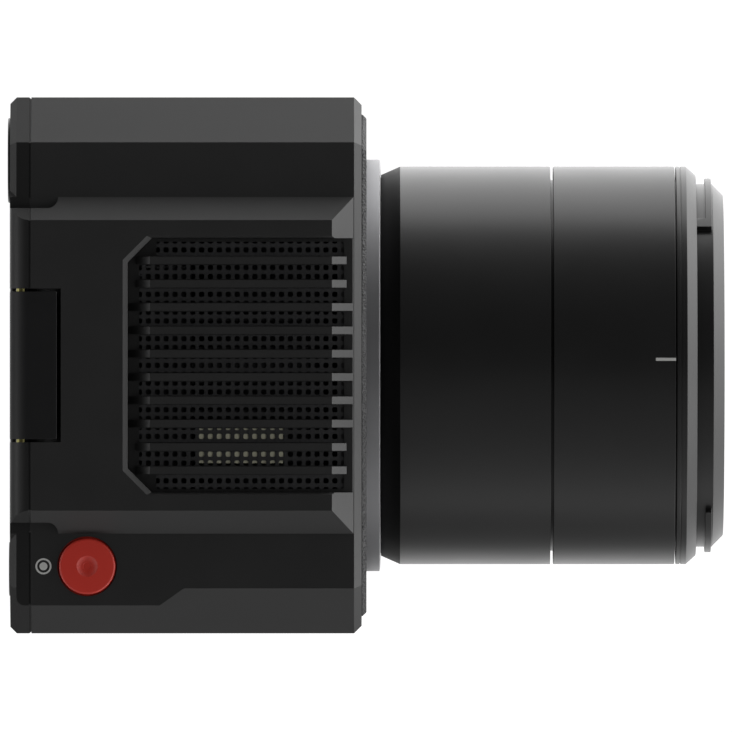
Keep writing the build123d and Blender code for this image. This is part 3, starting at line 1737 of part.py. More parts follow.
def make_front_glass():
    """The front element, flat at the back and bowed outwards."""
    x0 = cell_x + front_cell_wall
    x1 = x0 + front_lens_edge
    radius, sag = front_lens_radius, front_lens_bow
    curve = (radius**2 + sag**2) / (2 * sag)
    half = curve - math.sqrt(curve**2 - (radius / 2) ** 2)
    bow = ThreePointArc((x1 + sag, 0), (x1 + sag - half, radius / 2), (x1, radius))
    sides = Polyline((x1, radius), (x0, radius), (x0, 0), (x1 + sag, 0))
    face = Plane.XZ * make_face(bow + sides)
    return Pos(0, 0, axis_z) * revolve(face, Axis.X, 360)


# ---------------------------------------------------------------- write everything

os.makedirs("parts", exist_ok=True)

form = outer_form()
save("main_shell", make_main_shell(form))
save("rear_cover", make_rear_cover(form))
save("rear_cover_screws", make_rear_cover_screws())
save("front_bezel", make_front_bezel())
save("bezel_screws", make_bezel_screws())
save("front_cover", make_front_cover())
save("base_plate", make_base_plate())
save("base_screws", make_base_screws())
save("louvre_grille", make_grille())
save("perforated_sheet", make_sheet())

save("mount_boss", make_mount_boss())
save("mount_ring", make_mount_ring())
save("mount_screws", make_mount_screws())
save("mount_contacts", make_mount_contacts())
save("release_button", make_release_button())
save("lock_pin", make_lock_pin())

save("sensor_chamber", make_sensor_chamber())
save("sensor_window", make_window())
save("image_sensor", make_sensor())
save("sensor_board", make_sensor_board())
save("cold_plate", make_cold_plate())
save("thermoelectric_cooler", make_cooler())
save("heat_sink", make_heat_sink())
save("thermistor_block", make_thermistor_block())
save("fan_frame", make_fan_frame())
save("fan_screws", make_fan_screws())
save("fan_rotor", make_fan_rotor())
save("main_board", make_main_board())

save("rec_button", make_rec_button())
save("rec_switch", make_rec_switch())
save("rear_button", make_rear_button())
save("rear_switch", make_rear_switch())
save("control_dial", make_dial())
save("dial_cap", make_dial_cap())
save("dial_encoder", make_dial_encoder())

screen_frame, screen_glass, screen_panel = make_screen()
save("screen_frame", screen_frame)
save("screen_glass", screen_glass)
save("screen_panel", screen_panel)
save("screen_hinge_flap", make_hinge_flap())
save("screen_hinge_pin", make_hinge_pin())

save("card_door", make_door())
save("card_door_pin", make_door_pin())
save("card_slot", make_card_slot())
save("port_panel", make_port_panel())
save("dc_socket", make_dc_socket())
save("usb_socket", make_usb_socket())
save("audio_sockets", make_audio_sockets())

save("lens_flange", make_lens_flange())
save("lens_contacts", make_lens_contacts())
save("rear_barrel", make_rear_barrel())
save("focus_ring", make_focus_ring())
save("lens_nose", make_nose())
save("front_ring", make_front_ring())
save("lens_core", make_lens_core())
save("rear_glass", make_rear_glass())
save("iris_housing", make_iris_housing())
save("focus_cell", make_focus_cell())
save("focus_glass", make_focus_glass())
save("front_cell", make_front_cell())
save("front_glass", make_front_glass())
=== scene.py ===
# %% [markdown]
# # A fan-cooled box camera
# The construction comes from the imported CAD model, which is loaded here as a fixed frame in
# metres. This notebook gives each piece its finish, and remakes those pieces whose real surface
# is finer than the CAD solid. Nothing is moved: what is remade stays where the CAD has it.

# %% Load the frame
import json
import math
import bpy
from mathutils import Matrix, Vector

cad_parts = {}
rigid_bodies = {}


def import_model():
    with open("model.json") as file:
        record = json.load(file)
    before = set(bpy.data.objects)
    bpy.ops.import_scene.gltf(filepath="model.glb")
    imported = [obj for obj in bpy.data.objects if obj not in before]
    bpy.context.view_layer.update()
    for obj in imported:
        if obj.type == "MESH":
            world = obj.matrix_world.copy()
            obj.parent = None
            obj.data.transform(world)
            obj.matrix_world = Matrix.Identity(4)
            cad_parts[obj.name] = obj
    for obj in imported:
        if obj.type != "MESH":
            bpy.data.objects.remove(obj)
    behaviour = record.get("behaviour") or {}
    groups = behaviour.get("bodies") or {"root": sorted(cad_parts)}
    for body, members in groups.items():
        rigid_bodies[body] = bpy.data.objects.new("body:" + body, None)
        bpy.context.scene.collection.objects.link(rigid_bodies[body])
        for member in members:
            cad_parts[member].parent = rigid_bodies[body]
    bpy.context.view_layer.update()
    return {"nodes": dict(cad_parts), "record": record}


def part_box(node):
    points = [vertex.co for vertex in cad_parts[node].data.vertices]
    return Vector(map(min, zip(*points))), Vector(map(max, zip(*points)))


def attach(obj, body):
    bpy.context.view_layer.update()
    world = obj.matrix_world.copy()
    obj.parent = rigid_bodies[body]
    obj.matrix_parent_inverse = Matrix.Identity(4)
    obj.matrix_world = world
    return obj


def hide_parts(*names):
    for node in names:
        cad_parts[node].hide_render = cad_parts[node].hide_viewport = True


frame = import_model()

nodes = frame["nodes"]
mm = 0.001

# %% [markdown]
# ## Colours and shader nodes
# A colour is written as the hex value that a paint chart gives, and turned into the linear light
# that Blender counts in. Nodes could be added and linked one line at a time. One small function
# does it instead, with the settings, values and links of a node together, so that a material
# reads as a short list.


# %% Helpers for materials
def linear(hex_value):
    """The linear colour of an sRGB hex value."""
    channels = [int(hex_value[i : i + 2], 16) / 255 for i in (1, 3, 5)]
    curve = [c / 12.92 if c <= 0.04045 else ((c + 0.055) / 1.055) ** 2.4 for c in channels]
    return (*curve, 1.0)


def add(tree, kind, settings=(), values=(), links=()):
    """Add a shader node, set its properties and sockets, and link its inputs."""
    node = tree.nodes.new(kind)
    for name, value in dict(settings).items():
        setattr(node, name, value)
    for name, value in dict(values).items():
        node.inputs[name].default_value = value
    for name, source in dict(links).items():
        tree.links.new(source, node.inputs[name])
    return node


def new_material(name):
    """An empty node material with a Principled shader, as (material, tree, shader)."""
    material = bpy.data.materials.new(name)
    material.use_nodes = True
    tree = material.node_tree
    shader = tree.nodes["Principled BSDF"]
    return material, tree, shader


# %% [markdown]
# ## Finishes
# No real surface has one flat colour. A coat is a little thicker here and thinner there, and
# every way of working metal or plastic leaves a skin of its own: powder melts into a tiny orange
# peel, blasting leaves fine pits, and moulded plastic copies the spark-eroded steel of its mould.
# An image could show this, but it would blur close up. So each finish is made of two noises: a
# wide one drifts the colour and the roughness, and a fine one lifts the surface by a few
# thousandths of a millimetre. The grains are narrower than a third of a millimetre, as on the
# real thing. From afar they only soften a highlight, and close up they show. The even skin
# serves paint, moulded plastic and all else that has no marked grain.

# %% Skins
# Width of the patches, width and depth of the grain (all in mm), and drift of the roughness
skins = {
    "powder": (9.0, 0.22, 0.006, 0.04),
    "fine_blasted": (14.0, 0.12, 0.003, 0.03),
    "coarse_blasted": (6.0, 0.3, 0.004, 0.06),
    "satin_turned": (8.0, 0.15, 0.003, 0.03),
    "milled": (5.0, 0.3, 0.003, 0.06),
    "even": (7.0, 0.18, 0.004, 0.04),
    "soft_moulded": (6.0, 0.2, 0.01, 0.05),
}
print("skins", len(skins))


# %% A finish with a skin
def skinned(name, skin, dark, light, rough, gloss=0.5, metal=0.0):
    """A material that drifts between two tones, with the grain of a skin."""
    material, tree, shader = new_material(name)
    patch_width, grain_width, grain_depth, drift = skins[skin]
    place = add(tree, "ShaderNodeTexCoord").outputs["Object"]
    patches = add(
        tree,
        "ShaderNodeTexNoise",
        values={"Scale": 1 / (patch_width * mm), "Detail": 3.0, "Roughness": 0.55},
        links={"Vector": place},
    ).outputs["Fac"]
    tone = add(
        tree,
        "ShaderNodeMix",
        settings={"data_type": "RGBA"},
        values={6: linear(dark), 7: linear(light)},
        links={0: patches},
    ).outputs[2]
    tree.links.new(tone, shader.inputs["Base Color"])
    spread = add(
        tree,
        "ShaderNodeMapRange",
        values={"To Min": rough - drift, "To Max": rough + drift},
        links={"Value": patches},
    ).outputs["Result"]
    tree.links.new(spread, shader.inputs["Roughness"])
    grain = add(
        tree,
        "ShaderNodeTexNoise",
        values={"Scale": 1 / (grain_width * mm), "Detail": 2.0},
        links={"Vector": place},
    ).outputs["Fac"]
    bump = add(
        tree,
        "ShaderNodeBump",
        values={"Strength": 1.0, "Distance": grain_depth * mm},
        links={"Height": grain},
    ).outputs["Normal"]
    tree.links.new(bump, shader.inputs["Normal"])
    shader.inputs["Specular IOR Level"].default_value = gloss
    shader.inputs["Metallic"].default_value = metal
    return material


# %% [markdown]
# ## Coated metal
# The case is cast light alloy under a fine matte powder coat, which scatters light evenly. The
# lens is turned aluminium, fine-blasted and hard anodised black, a little smoother, so that its
# barrel carries a long soft highlight. A coat hides the metal under it, so these finishes aren't
# metallic in the shader: they're dark coats with a weak gloss.

# %% Coated metal
finishes = {
    "body_coating": skinned("powder_coat", "powder", "#131313", "#171717", 0.45),
    "rear_coating": skinned("rear_powder_coat", "powder", "#0c0c0c", "#0f0f0f", 0.45, 0.36),
    "lens_anodised": skinned("hard_anodised", "fine_blasted", "#0c0c0c", "#101010", 0.36),
    "dark_anodised": skinned("black_anodised", "coarse_blasted", "#1a1a1b", "#262627", 0.5),
    "dial_metal": skinned("dial_anodised", "even", "#101011", "#151516", 0.4, 0.3),
    "hinge_coating": skinned("hinge_coat", "even", "#070708", "#0a0a0b", 0.5, 0.3),
    "sheet_metal": skinned("blackened_sheet", "even", "#2e2e2f", "#383839", 0.5),
    # Near-black with little gloss for the rear cone: painted shade, for a cone turned away from the
    # light and shaded by the case.
    "cone_painted_shade": skinned("painted_shade_black", "even", "#030303", "#050505", 0.5, 0.12),
    "white_paint": skinned("white_paint", "even", "#9c9c9a", "#a6a6a4", 0.5),
}
print("coats", len(finishes))

# %% [markdown]
# ## Bare metal
# The boss round the mount, the mount ring, the screws, the hinge pin and the sockets are bare,
# blackened or plated. Here the metal itself reflects, so the shader's metallic value is 1.
# The cooled block under the outlet is aluminium that has gone dull and pale with oxide, and that
# skin scatters light as a paint does.

# %% Bare metal
finishes.update(
    {
        "satin_metal": skinned("satin_metal", "satin_turned", "#88888a", "#909092", 0.5, metal=1.0),
        "black_screw": skinned("black_oxide_steel", "milled", "#2a2a2c", "#343436", 0.4, metal=1.0),
        "mount_steel": skinned("stainless_steel", "milled", "#a9a9a8", "#b6b6b4", 0.25, metal=1.0),
        "hinge_steel": skinned("passivated_steel", "milled", "#9a9560", "#a8a26c", 0.3, metal=1.0),
        "plated_socket": skinned("nickel_plate", "milled", "#5a5a59", "#646462", 0.35, metal=1.0),
        "bare_aluminium": skinned("oxidised_aluminium", "even", "#cbc9b2", "#d6d4be", 0.6),
    }
)
print("with bare metals", len(finishes))

# %% [markdown]
# ## Plastic, rubber and boards
# Caps, doors and frames are moulded plastic, and the circuit boards are coated with solder mask.
# The front cover has a leather-like grain, so that it's good to hold. Such a grain could be
# sculpted, but its cells are 0.4 mm wide and would take millions of faces. So it's a bump, and
# the outline of the cover stays as it is.

# %% Plastic, rubber and boards
finishes.update(
    {
        "black_plastic": skinned("black_abs", "even", "#161617", "#1c1c1d", 0.45),
        "red_plastic": skinned("red_abs", "even", "#a4261b", "#ab291d", 0.42),
        "rubber": skinned("seal_rubber", "even", "#0a0a0a", "#0e0e0e", 0.8, 0.2),
        "white_ceramic": skinned("alumina", "even", "#dcdcd8", "#e6e6e2", 0.5),
        "circuit_board": skinned("solder_mask", "even", "#0f2a1a", "#12331f", 0.35),
        "sensor_silicon": skinned("sensor_filter", "even", "#141320", "#1c1a2a", 0.1),
        "display_panel": skinned("display_off", "even", "#0a0a0c", "#0d0d10", 0.2),
        "grained_plastic": skinned("grained_plastic", "soft_moulded", "#262627", "#303031", 0.55),
    }
)
cell_width, cell_depth = 0.4 * mm, 0.3 * mm
tree = finishes["grained_plastic"].node_tree
place = add(tree, "ShaderNodeTexCoord").outputs["Object"]
cells = add(
    tree,
    "ShaderNodeTexVoronoi",
    settings={"feature": "SMOOTH_F1"},
    values={"Scale": 1 / cell_width},
    links={"Vector": place},
).outputs["Distance"]
bump = add(
    tree,
    "ShaderNodeBump",
    values={"Strength": 1.0, "Distance": cell_depth},
    links={"Height": cells},
).outputs["Normal"]
tree.links.new(bump, tree.nodes["Principled BSDF"].inputs["Normal"])
print("with plastics", len(finishes))

# %% [markdown]
# ## Glass
# The lens elements and the sensor's window let light through. The front element is coated
# against reflections, which the shader takes as a low gloss. The cover glass of the screen lies
# on a display that's off. Seen from outside that's one black, glossy surface, so it's made
# without transmission, which also keeps it free of noise.

# %% Glass
glass_index = 1.52
haze_width, haze_depth = 20 * mm, 0.01


def glass(name, tint, rough, clear=1.0, gloss=0.5):
    """Polished glass with a tint and a faint haze."""
    material, tree, shader = new_material(name)
    place = add(tree, "ShaderNodeTexCoord").outputs["Object"]
    haze = add(
        tree,
        "ShaderNodeTexNoise",
        values={"Scale": 1 / haze_width, "Detail": 2.0},
        links={"Vector": place},
    ).outputs["Fac"]
    spread = add(
        tree,
        "ShaderNodeMapRange",
        values={"To Min": rough, "To Max": rough + haze_depth},
        links={"Value": haze},
    ).outputs["Result"]
    tree.links.new(spread, shader.inputs["Roughness"])
    shader.inputs["Base Color"].default_value = linear(tint)
    shader.inputs["Transmission Weight"].default_value = clear
    shader.inputs["IOR"].default_value = glass_index
    shader.inputs["Specular IOR Level"].default_value = gloss
    return material


finishes["clear_glass"] = glass("window_glass", "#f2f7f5", 0.0)
finishes["coated_glass"] = glass("coated_lens_glass", "#aebfcb", 0.0, gloss=0.15)
finishes["screen_glass"] = glass("cover_glass", "#050506", 0.03, clear=0.0)
print("with glasses", len(finishes))

# %% [markdown]
# ## First coat
# Every CAD piece gets the finish of its slot. Pieces that are remade below take the same finish,
# and the others, mostly hidden inside, are done with this.

# %% Give every CAD piece its finish
for part in frame["record"]["subparts"]:
    piece = nodes[part["node"]]
    piece.data.materials.clear()
    piece.data.materials.append(finishes[part["material_slot"]])

# %% [markdown]
# ## Modelling tools
# Round pieces are turned from a closed profile of points along the lens and out from its axis.
# Its corners are eased by about a tenth of a millimetre, as a machinist would do. Other pieces
# start from the CAD solid. Its loose triangles are joined again into flats, and its edges are
# broken by a fine bevel, so that they catch the light. Weighted normals keep the large flats
# even beside these bevels.

# %% Helpers for modelling
weld = 0.001 * mm
groups = frame["record"]["behaviour"]["bodies"]
body_of_node = {node: body for body, group in groups.items() for node in group}
slot_of_node = {part["node"]: part["material_slot"] for part in frame["record"]["subparts"]}


def dress(piece, node, replace=True):
    """Give a piece the finish and motion of a CAD node, and let it stand for that node."""
    piece.data.materials.clear()
    piece.data.materials.append(finishes[slot_of_node[node]])
    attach(piece, body_of_node[node])
    if replace:
        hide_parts(node)
    return piece


def smooth(angle=30):
    """Smooth shading with crisp edges, where the large faces keep their own direction."""
    bpy.ops.object.mode_set(mode="OBJECT")
    bpy.ops.object.shade_smooth_by_angle(angle=math.radians(angle))
    bpy.ops.object.modifier_add(type="WEIGHTED_NORMAL")
    even = bpy.context.object.modifiers[-1]
    even.keep_sharp = True
    bpy.ops.object.modifier_apply(modifier=even.name)


def corners(node):
    """The lowest and highest corner of a CAD node, in millimetres."""
    low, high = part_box(node)
    return tuple(v / mm for v in low), tuple(v / mm for v in high)


# %% Turning
largest_share = 0.4


def start_point(name, place):
    """A new object at the origin that holds one point, left in edit mode and selected."""
    bpy.ops.object.select_all(action="DESELECT")
    bpy.ops.mesh.primitive_plane_add(size=2 * mm)
    piece = bpy.context.object
    piece.name = name
    bpy.ops.object.mode_set(mode="EDIT")
    bpy.ops.mesh.select_all(action="SELECT")
    bpy.ops.mesh.merge(type="CENTER")
    bpy.ops.transform.translate(value=place)
    return piece


def eased(profile, radius):
    """The same closed profile with curved corners, which take a limited share of each edge."""
    points = []
    for index, corner in enumerate(profile):
        before, after = profile[index - 1], profile[(index + 1) % len(profile)]
        steps = []
        for other in (before, after):
            length = math.dist(corner, other)
            share = min(radius / length, largest_share)
            steps.append([c + (o - c) * share for c, o in zip(corner, other)])
        middle = [(a + 2 * c + b) / 4 for a, c, b in zip(steps[0], corner, steps[1])]
        points += [tuple(steps[0]), tuple(middle), tuple(steps[1])]
    return points


def turned(name, profile, centre, steps=240, ease=0.1, angle=360.0, start=0.0):
    """A piece turned about a line along X, from a closed profile of x and radius (mm)."""
    points = eased(profile, ease) if ease else profile
    y, z = centre[1:]
    lean = math.radians(start)
    aim = (math.cos(lean), math.sin(lean))
    spots = [(x * mm, y + r * mm * aim[0], z + r * mm * aim[1]) for x, r in points]
    piece = start_point(name, spots[0])
    for here, there in zip(spots, spots[1:] + spots[:1]):
        step = tuple(b - a for a, b in zip(here, there))
        bpy.ops.mesh.extrude_region_move(TRANSFORM_OT_translate={"value": step})
    bpy.ops.mesh.select_all(action="SELECT")
    bpy.ops.mesh.remove_doubles(threshold=weld)
    if angle < 360:
        bpy.ops.mesh.edge_face_add()
    bpy.ops.mesh.spin(
        steps=steps,
        angle=math.radians(angle),
        center=(0, y, z),
        axis=(1, 0, 0),
    )
    bpy.ops.mesh.select_all(action="SELECT")
    bpy.ops.mesh.remove_doubles(threshold=weld)
    bpy.ops.mesh.normals_make_consistent(inside=False)
    smooth()
    return piece


# %% Refining a CAD piece
flat_angle, edge_angle, edge_segments = 1.0, 30, 2


def refined(node, width):
    """A copy of a CAD piece with whole flats, and edges broken by a bevel of a width (mm)."""
    piece = bpy.data.objects.new(node + "_made", nodes[node].data.copy())
    bpy.context.scene.collection.objects.link(piece)
    bpy.ops.object.select_all(action="DESELECT")
    piece.select_set(True)
    bpy.context.view_layer.objects.active = piece
    bpy.ops.object.mode_set(mode="EDIT")
    bpy.ops.mesh.select_all(action="SELECT")
    bpy.ops.mesh.remove_doubles(threshold=2 * weld)
    bpy.ops.mesh.dissolve_limited(angle_limit=math.radians(flat_angle))
    bpy.ops.object.mode_set(mode="OBJECT")
    if width:
        bpy.ops.object.modifier_add(type="BEVEL")
        bevel = piece.modifiers[-1]
        bevel.width = width * mm
        bevel.segments = edge_segments
        bevel.limit_method = "ANGLE"
        bevel.angle_limit = math.radians(edge_angle)
        bevel.use_clamp_overlap = True
        bpy.ops.object.modifier_apply(modifier=bevel.name)
    smooth(edge_angle)
    return dress(piece, node)


# %% [markdown]
# ## Rear barrel
# The fixed rear part of the lens is one smooth tube. It starts with a cone at the
# camera, carries a web that holds the core tube, and ends in a thinner sleeve on which the focus
# ring turns. The CAD solid has the same section but flat facets, which would show in the long
# highlight. So the section is turned again in 240 fine steps, and the cone is a piece of its
# own. Its near-black is painted shade, for a cone that faces away from the light and lies in the
# case's shade.

# %% Places on the lens, in millimetres
low, high = corners("focus_ring")
ring_start, ring_end = low[0], high[0]
barrel_radius = (high[1] - low[1]) / 2
lens_centre = (0.0, 0.0, (low[2] + high[2]) / 2 * mm)
low, high = corners("rear_barrel")
barrel_start, sleeve_end = low[0], high[0]
low, high = corners("front_ring")
front_start, front_end = low[0], high[0]
front_radius = (high[1] - low[1]) / 2
print("ring", ring_start, ring_end, "radius", barrel_radius, "axis", lens_centre[2])

# %% Rear barrel
wall, seat_bore, core_bore = 2.4, 33.05, 26.15
bevel_length, bevel_depth, band_depth, hair = 3.8, 1.7, 0.4, 0.02
web_back, web_front = barrel_start + 2.75, barrel_start + 5.0
bore = barrel_radius - wall
barrel_end = ring_start - 0.6
sleeve_radius = bore - 0.3
sleeve_bore = sleeve_radius - 1.7
sleeve_root, bore_end = barrel_end - 6.0, barrel_end - 8.0
band_joint = barrel_start + bevel_length
band_radius = barrel_radius - bevel_depth
band_root = band_radius - band_depth
barrel = turned(
    "rear_barrel_made",
    [
        (barrel_start + hair, seat_bore),
        (barrel_start + hair, band_root),
        (band_joint, band_root),
        (band_joint, barrel_radius),
        (barrel_end, barrel_radius),
        (barrel_end, sleeve_radius),
        (sleeve_end, sleeve_radius),
        (sleeve_end, sleeve_bore),
        (sleeve_root, sleeve_bore),
        (bore_end, bore),
        (web_front, bore),
        (web_front, core_bore),
        (web_back, core_bore),
        (web_back, seat_bore),
    ],
    lens_centre,
)
dress(barrel, "rear_barrel")
band = turned(
    "rear_band",
    [
        (barrel_start, band_root),
        (barrel_start, band_radius),
        (band_joint, barrel_radius - hair),
        (band_joint, band_root),
    ],
    lens_centre,
    ease=0.05,
)
dress(band, "rear_barrel", replace=False)
# The cone takes the near-black of the painted shade.
band.data.materials[0] = finishes["cone_painted_shade"]
print("rear barrel", len(barrel.data.polygons), "band", len(band.data.polygons))

# %% [markdown]
# ## Rubber seal
# Between the barrel and the boss there's a gap of a tenth of a millimetre, so that the lens can
# turn. On a real lens a rubber lip closes it against dust and light. It's a thin flat ring, so
# four points of a profile are enough, without eased corners.

# %% Rubber seal behind the barrel
seal_proud, seal_bore = 0.07, 34.0
seal_radius = band_radius - 0.5
seal = turned(
    "mount_seal",
    [
        (barrel_start - seal_proud, seal_bore),
        (barrel_start - seal_proud, seal_radius),
        (barrel_start, seal_radius),
        (barrel_start, seal_bore),
    ],
    lens_centre,
    ease=0,
)
dress(seal, "rear_barrel", replace=False)
seal.data.materials[0] = finishes["rubber"]
print("seal", len(seal.data.polygons))

# %% [markdown]
# ## Focus ring and index line
# The focus ring is a smooth tube without ribs. Its one mark is a white line, painted into a
# shallow groove. A painted line could be a texture, but then it would blur. So it's a thin curved
# plate, turned by less than one degree, which stands two hundredths of a millimetre out of the
# ring and rides with it.

# %% Focus ring, with its index line
ring = turned(
    "focus_ring_made",
    [
        (ring_start, bore),
        (ring_start, barrel_radius),
        (ring_end, barrel_radius),
        (ring_end, bore),
    ],
    lens_centre,
    ease=0.2,
)
dress(ring, "focus_ring")
mark_start, mark_length, mark_width, mark_place = 57.8, 4.0, 0.6, 1.2
mark_root, mark_top = barrel_radius - 0.1, barrel_radius + hair
mark_angle = math.degrees(mark_width / barrel_radius)
mark = turned(
    "index_line",
    [
        (mark_start, mark_root),
        (mark_start, mark_top),
        (mark_start + mark_length, mark_top),
        (mark_start + mark_length, mark_root),
    ],
    lens_centre,
    steps=4,
    ease=0,
    angle=mark_angle,
    start=90 - math.degrees(mark_place / barrel_radius) + mark_angle / 2,
)
mark.data.materials.append(finishes["white_paint"])
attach(mark, "focus_ring")
print("focus ring", len(ring.data.polygons), "index line", len(mark.data.polygons))

# %% [markdown]
# ## Front barrel and front ring
# The front barrel has the lugs of the hood's bayonet, so it isn't round and starts from the CAD
# solid. The front ring is a plain cone from its seat down to the filter thread, and is turned.

# %% Front barrel and front ring
filter_bore, front_drop = 33.2, 2.2
nose = refined("lens_nose", 0.1)
ring_face = turned(
    "front_ring_made",
    [
        (front_start, filter_bore),
        (front_start, front_radius - hair),
        (front_end, front_radius - front_drop),
        (front_end, filter_bore),
    ],
    lens_centre,
    ease=0.06,
)
dress(ring_face, "front_ring")
print("nose", len(nose.data.polygons), "front ring", len(ring_face.data.polygons))

# %% [markdown]
# ## Mount boss
# The turned boss round the mount is satin metal, nearly a plain cylinder. Only its front edge
# falls away in a tight curve towards the lens, which is drawn here as a quarter of an ellipse.

# %% Mount boss
low, high = corners("mount_boss")
boss_back, boss_front = low[0], high[0]
boss_radius = (high[1] - low[1]) / 2
round_length, round_depth, round_steps = 0.25, 2.3, 6
round_start = boss_front - round_length
profile = [(boss_back, seat_bore), (boss_back, boss_radius), (round_start, boss_radius)]
for index in range(1, round_steps + 1):
    turn = math.pi / 2 * index / round_steps
    x = boss_front - round_length * (1 - math.sin(turn))
    profile.append((x, boss_radius - round_depth * (1 - math.cos(turn))))
profile.append((boss_front, seat_bore))
boss = turned("mount_boss_made", profile, lens_centre, ease=0.03)
dress(boss, "mount_boss")
print("boss", len(boss.data.polygons))

# %% [markdown]
# ## Case
# The case, the screen, the controls and the pieces that show through an opening are cast, milled
# or moulded, and no such edge is perfectly sharp. The CAD shapes are right, so they're copied,
# their flats made whole, and each edge is broken by a bevel of the width given here in
# millimetres. The glasses and the core keep their edges. The rear cover is coated in a batch of
# its own, slightly darker than the shell.

# %% Case, screen, controls and inner parts
edges = {
    "main_shell": 0.15,
    "rear_cover": 0.12,
    "front_bezel": 0.15,
    "front_cover": 0.12,
    "base_plate": 0.15,
    "louvre_grille": 0.06,
    "screen_frame": 0.12,
    "screen_hinge_flap": 0.15,
    "rear_button": 0.08,
    "dial_cap": 0.08,
    "card_door": 0.12,
    "port_panel": 0.08,
    "release_button": 0.12,
    "mount_ring": 0.08,
    "lens_flange": 0.08,
    "heat_sink": 0.05,
    "thermistor_block": 0.15,
    "front_cell": 0.06,
    "lens_core": 0.0,
    "front_glass": 0.0,
    "focus_glass": 0.0,
    "rear_glass": 0.0,
    "rear_cover_screws": 0.06,
    "base_screws": 0.06,
    "mount_screws": 0.04,
    "fan_rotor": 0.05,
    "fan_frame": 0.1,
}
for node, width in edges.items():
    piece = refined(node, width)
    print(node, len(piece.data.polygons), "faces")
bpy.data.objects["rear_cover_made"].data.materials[0] = finishes["rear_coating"]

# %% [markdown]
# ## Record button
# The red button is moulded, with a rounded edge, a smooth dish in its middle for the fingertip,
# and a small flat floor in the dish. It could be turned as the lens pieces are. Here it's built
# upwards instead, which suits a button: a disc is extruded and drawn in again and again, and
# each step follows the wanted curve.

# %% Sizes and tools of the record button
low, high = corners("rec_button")
button_x, button_y = (low[0] + high[0]) / 2, (low[1] + high[1]) / 2
button_top, button_foot = high[2], low[2]
middle = (button_x * mm, button_y * mm, 0)
cap_radius, edge_radius, edge_steps = 5.6, 0.5, 5
flange_radius, flange_height = 6.6, 1.6
dish_radius, dish_depth, dish_steps = 2.1, 0.5, 8
floor_radius, floor_step = 0.85, 0.1
cap_sides, crease_angle = 96, 25


def lift(height):
    """Extrude the selected face upwards by a height in millimetres."""
    bpy.ops.mesh.extrude_region_move(TRANSFORM_OT_translate={"value": (0, 0, height * mm)})


def draw_in(share):
    """Scale the selected face about the button's middle."""
    bpy.ops.transform.resize(value=(share, share, 1), center_override=middle)


print("button at", button_x, button_y, "from", button_foot, "to", button_top)

# %% Flange and cap
bpy.ops.object.select_all(action="DESELECT")
bpy.ops.mesh.primitive_circle_add(
    vertices=cap_sides,
    radius=flange_radius * mm,
    fill_type="NGON",
)
button = bpy.context.object
button.name = "rec_button_made"
bpy.ops.object.mode_set(mode="EDIT")
bpy.ops.mesh.select_all(action="SELECT")
bpy.ops.transform.translate(value=(button_x * mm, button_y * mm, button_foot * mm))
lift(flange_height)
lift(0)
draw_in(cap_radius / flange_radius)
lift(button_top - edge_radius - flange_height - button_foot)
print("cap of", round(button_top - flange_height - button_foot, 2), "mm above its flange")

# %% Rounded edge, dish and its floor
radius = cap_radius
for step in range(1, edge_steps + 1):
    turn = math.pi / 2 * step / edge_steps
    before = math.pi / 2 * (step - 1) / edge_steps
    lift(edge_radius * (math.sin(turn) - math.sin(before)))
    following = cap_radius - edge_radius * (1 - math.cos(turn))
    draw_in(following / radius)
    radius = following
height = 0.0
for step in range(dish_steps + 1):
    share = step / dish_steps
    following = dish_radius + (floor_radius - dish_radius) * share
    depth = -dish_depth * math.sin(math.pi / 2 * share)
    lift(depth - height)
    draw_in(following / radius)
    radius, height = following, depth
lift(-floor_step)
draw_in(1 - floor_step / floor_radius)
bpy.ops.mesh.select_all(action="SELECT")
bpy.ops.mesh.remove_doubles(threshold=weld)
bpy.ops.mesh.normals_make_consistent(inside=False)
smooth(crease_angle)
dress(button, "rec_button")
print("record button", len(button.data.polygons))

# %% [markdown]
# ## Perforated sheet
# Under the louvres lies a punched sheet with round holes on a square grid. Cutting some 650 holes
# one by one is slow. So each cell of a grid is inset to a square, the square's corners are cut
# twice so that it becomes a hole's outline of 12 sides, and the hole is opened. The edges of the
# sheet are then cut to the shape of its recess, and the flat net is given its thickness.

# %% A net of hole outlines
low, high = corners("perforated_sheet")
pitch, hole, hole_sides, corner_share = 1.768, 1.05, 12, 0.29
first_hole, rows, corner_cut = -45.1, 27, 4.8
columns = int((high[0] - first_hole) / pitch) + 1
grid_middle = first_hole + (columns - 1) / 2 * pitch
bpy.ops.object.select_all(action="DESELECT")
bpy.ops.mesh.primitive_grid_add(x_subdivisions=columns + 2, y_subdivisions=rows + 2, size=1.0)
sheet = bpy.context.object
sheet.name = "perforated_sheet_made"
bpy.ops.object.mode_set(mode="EDIT")
bpy.ops.mesh.select_all(action="SELECT")
bpy.ops.transform.resize(value=((columns + 2) * pitch * mm, (rows + 2) * pitch * mm, 1))
bpy.ops.transform.translate(value=(grid_middle * mm, 0, high[2] * mm))
bpy.ops.mesh.select_mode(type="FACE")
bpy.ops.mesh.select_less()
bpy.ops.mesh.inset(thickness=(pitch - hole) / 2 * mm, use_individual=True)
bpy.ops.mesh.bevel(offset=hole * corner_share * mm, affect="VERTICES", segments=2)
bpy.ops.mesh.select_face_by_sides(number=hole_sides, type="EQUAL", extend=False)
bpy.ops.mesh.delete(type="FACE")
print("net of", columns, "by", rows, "holes")

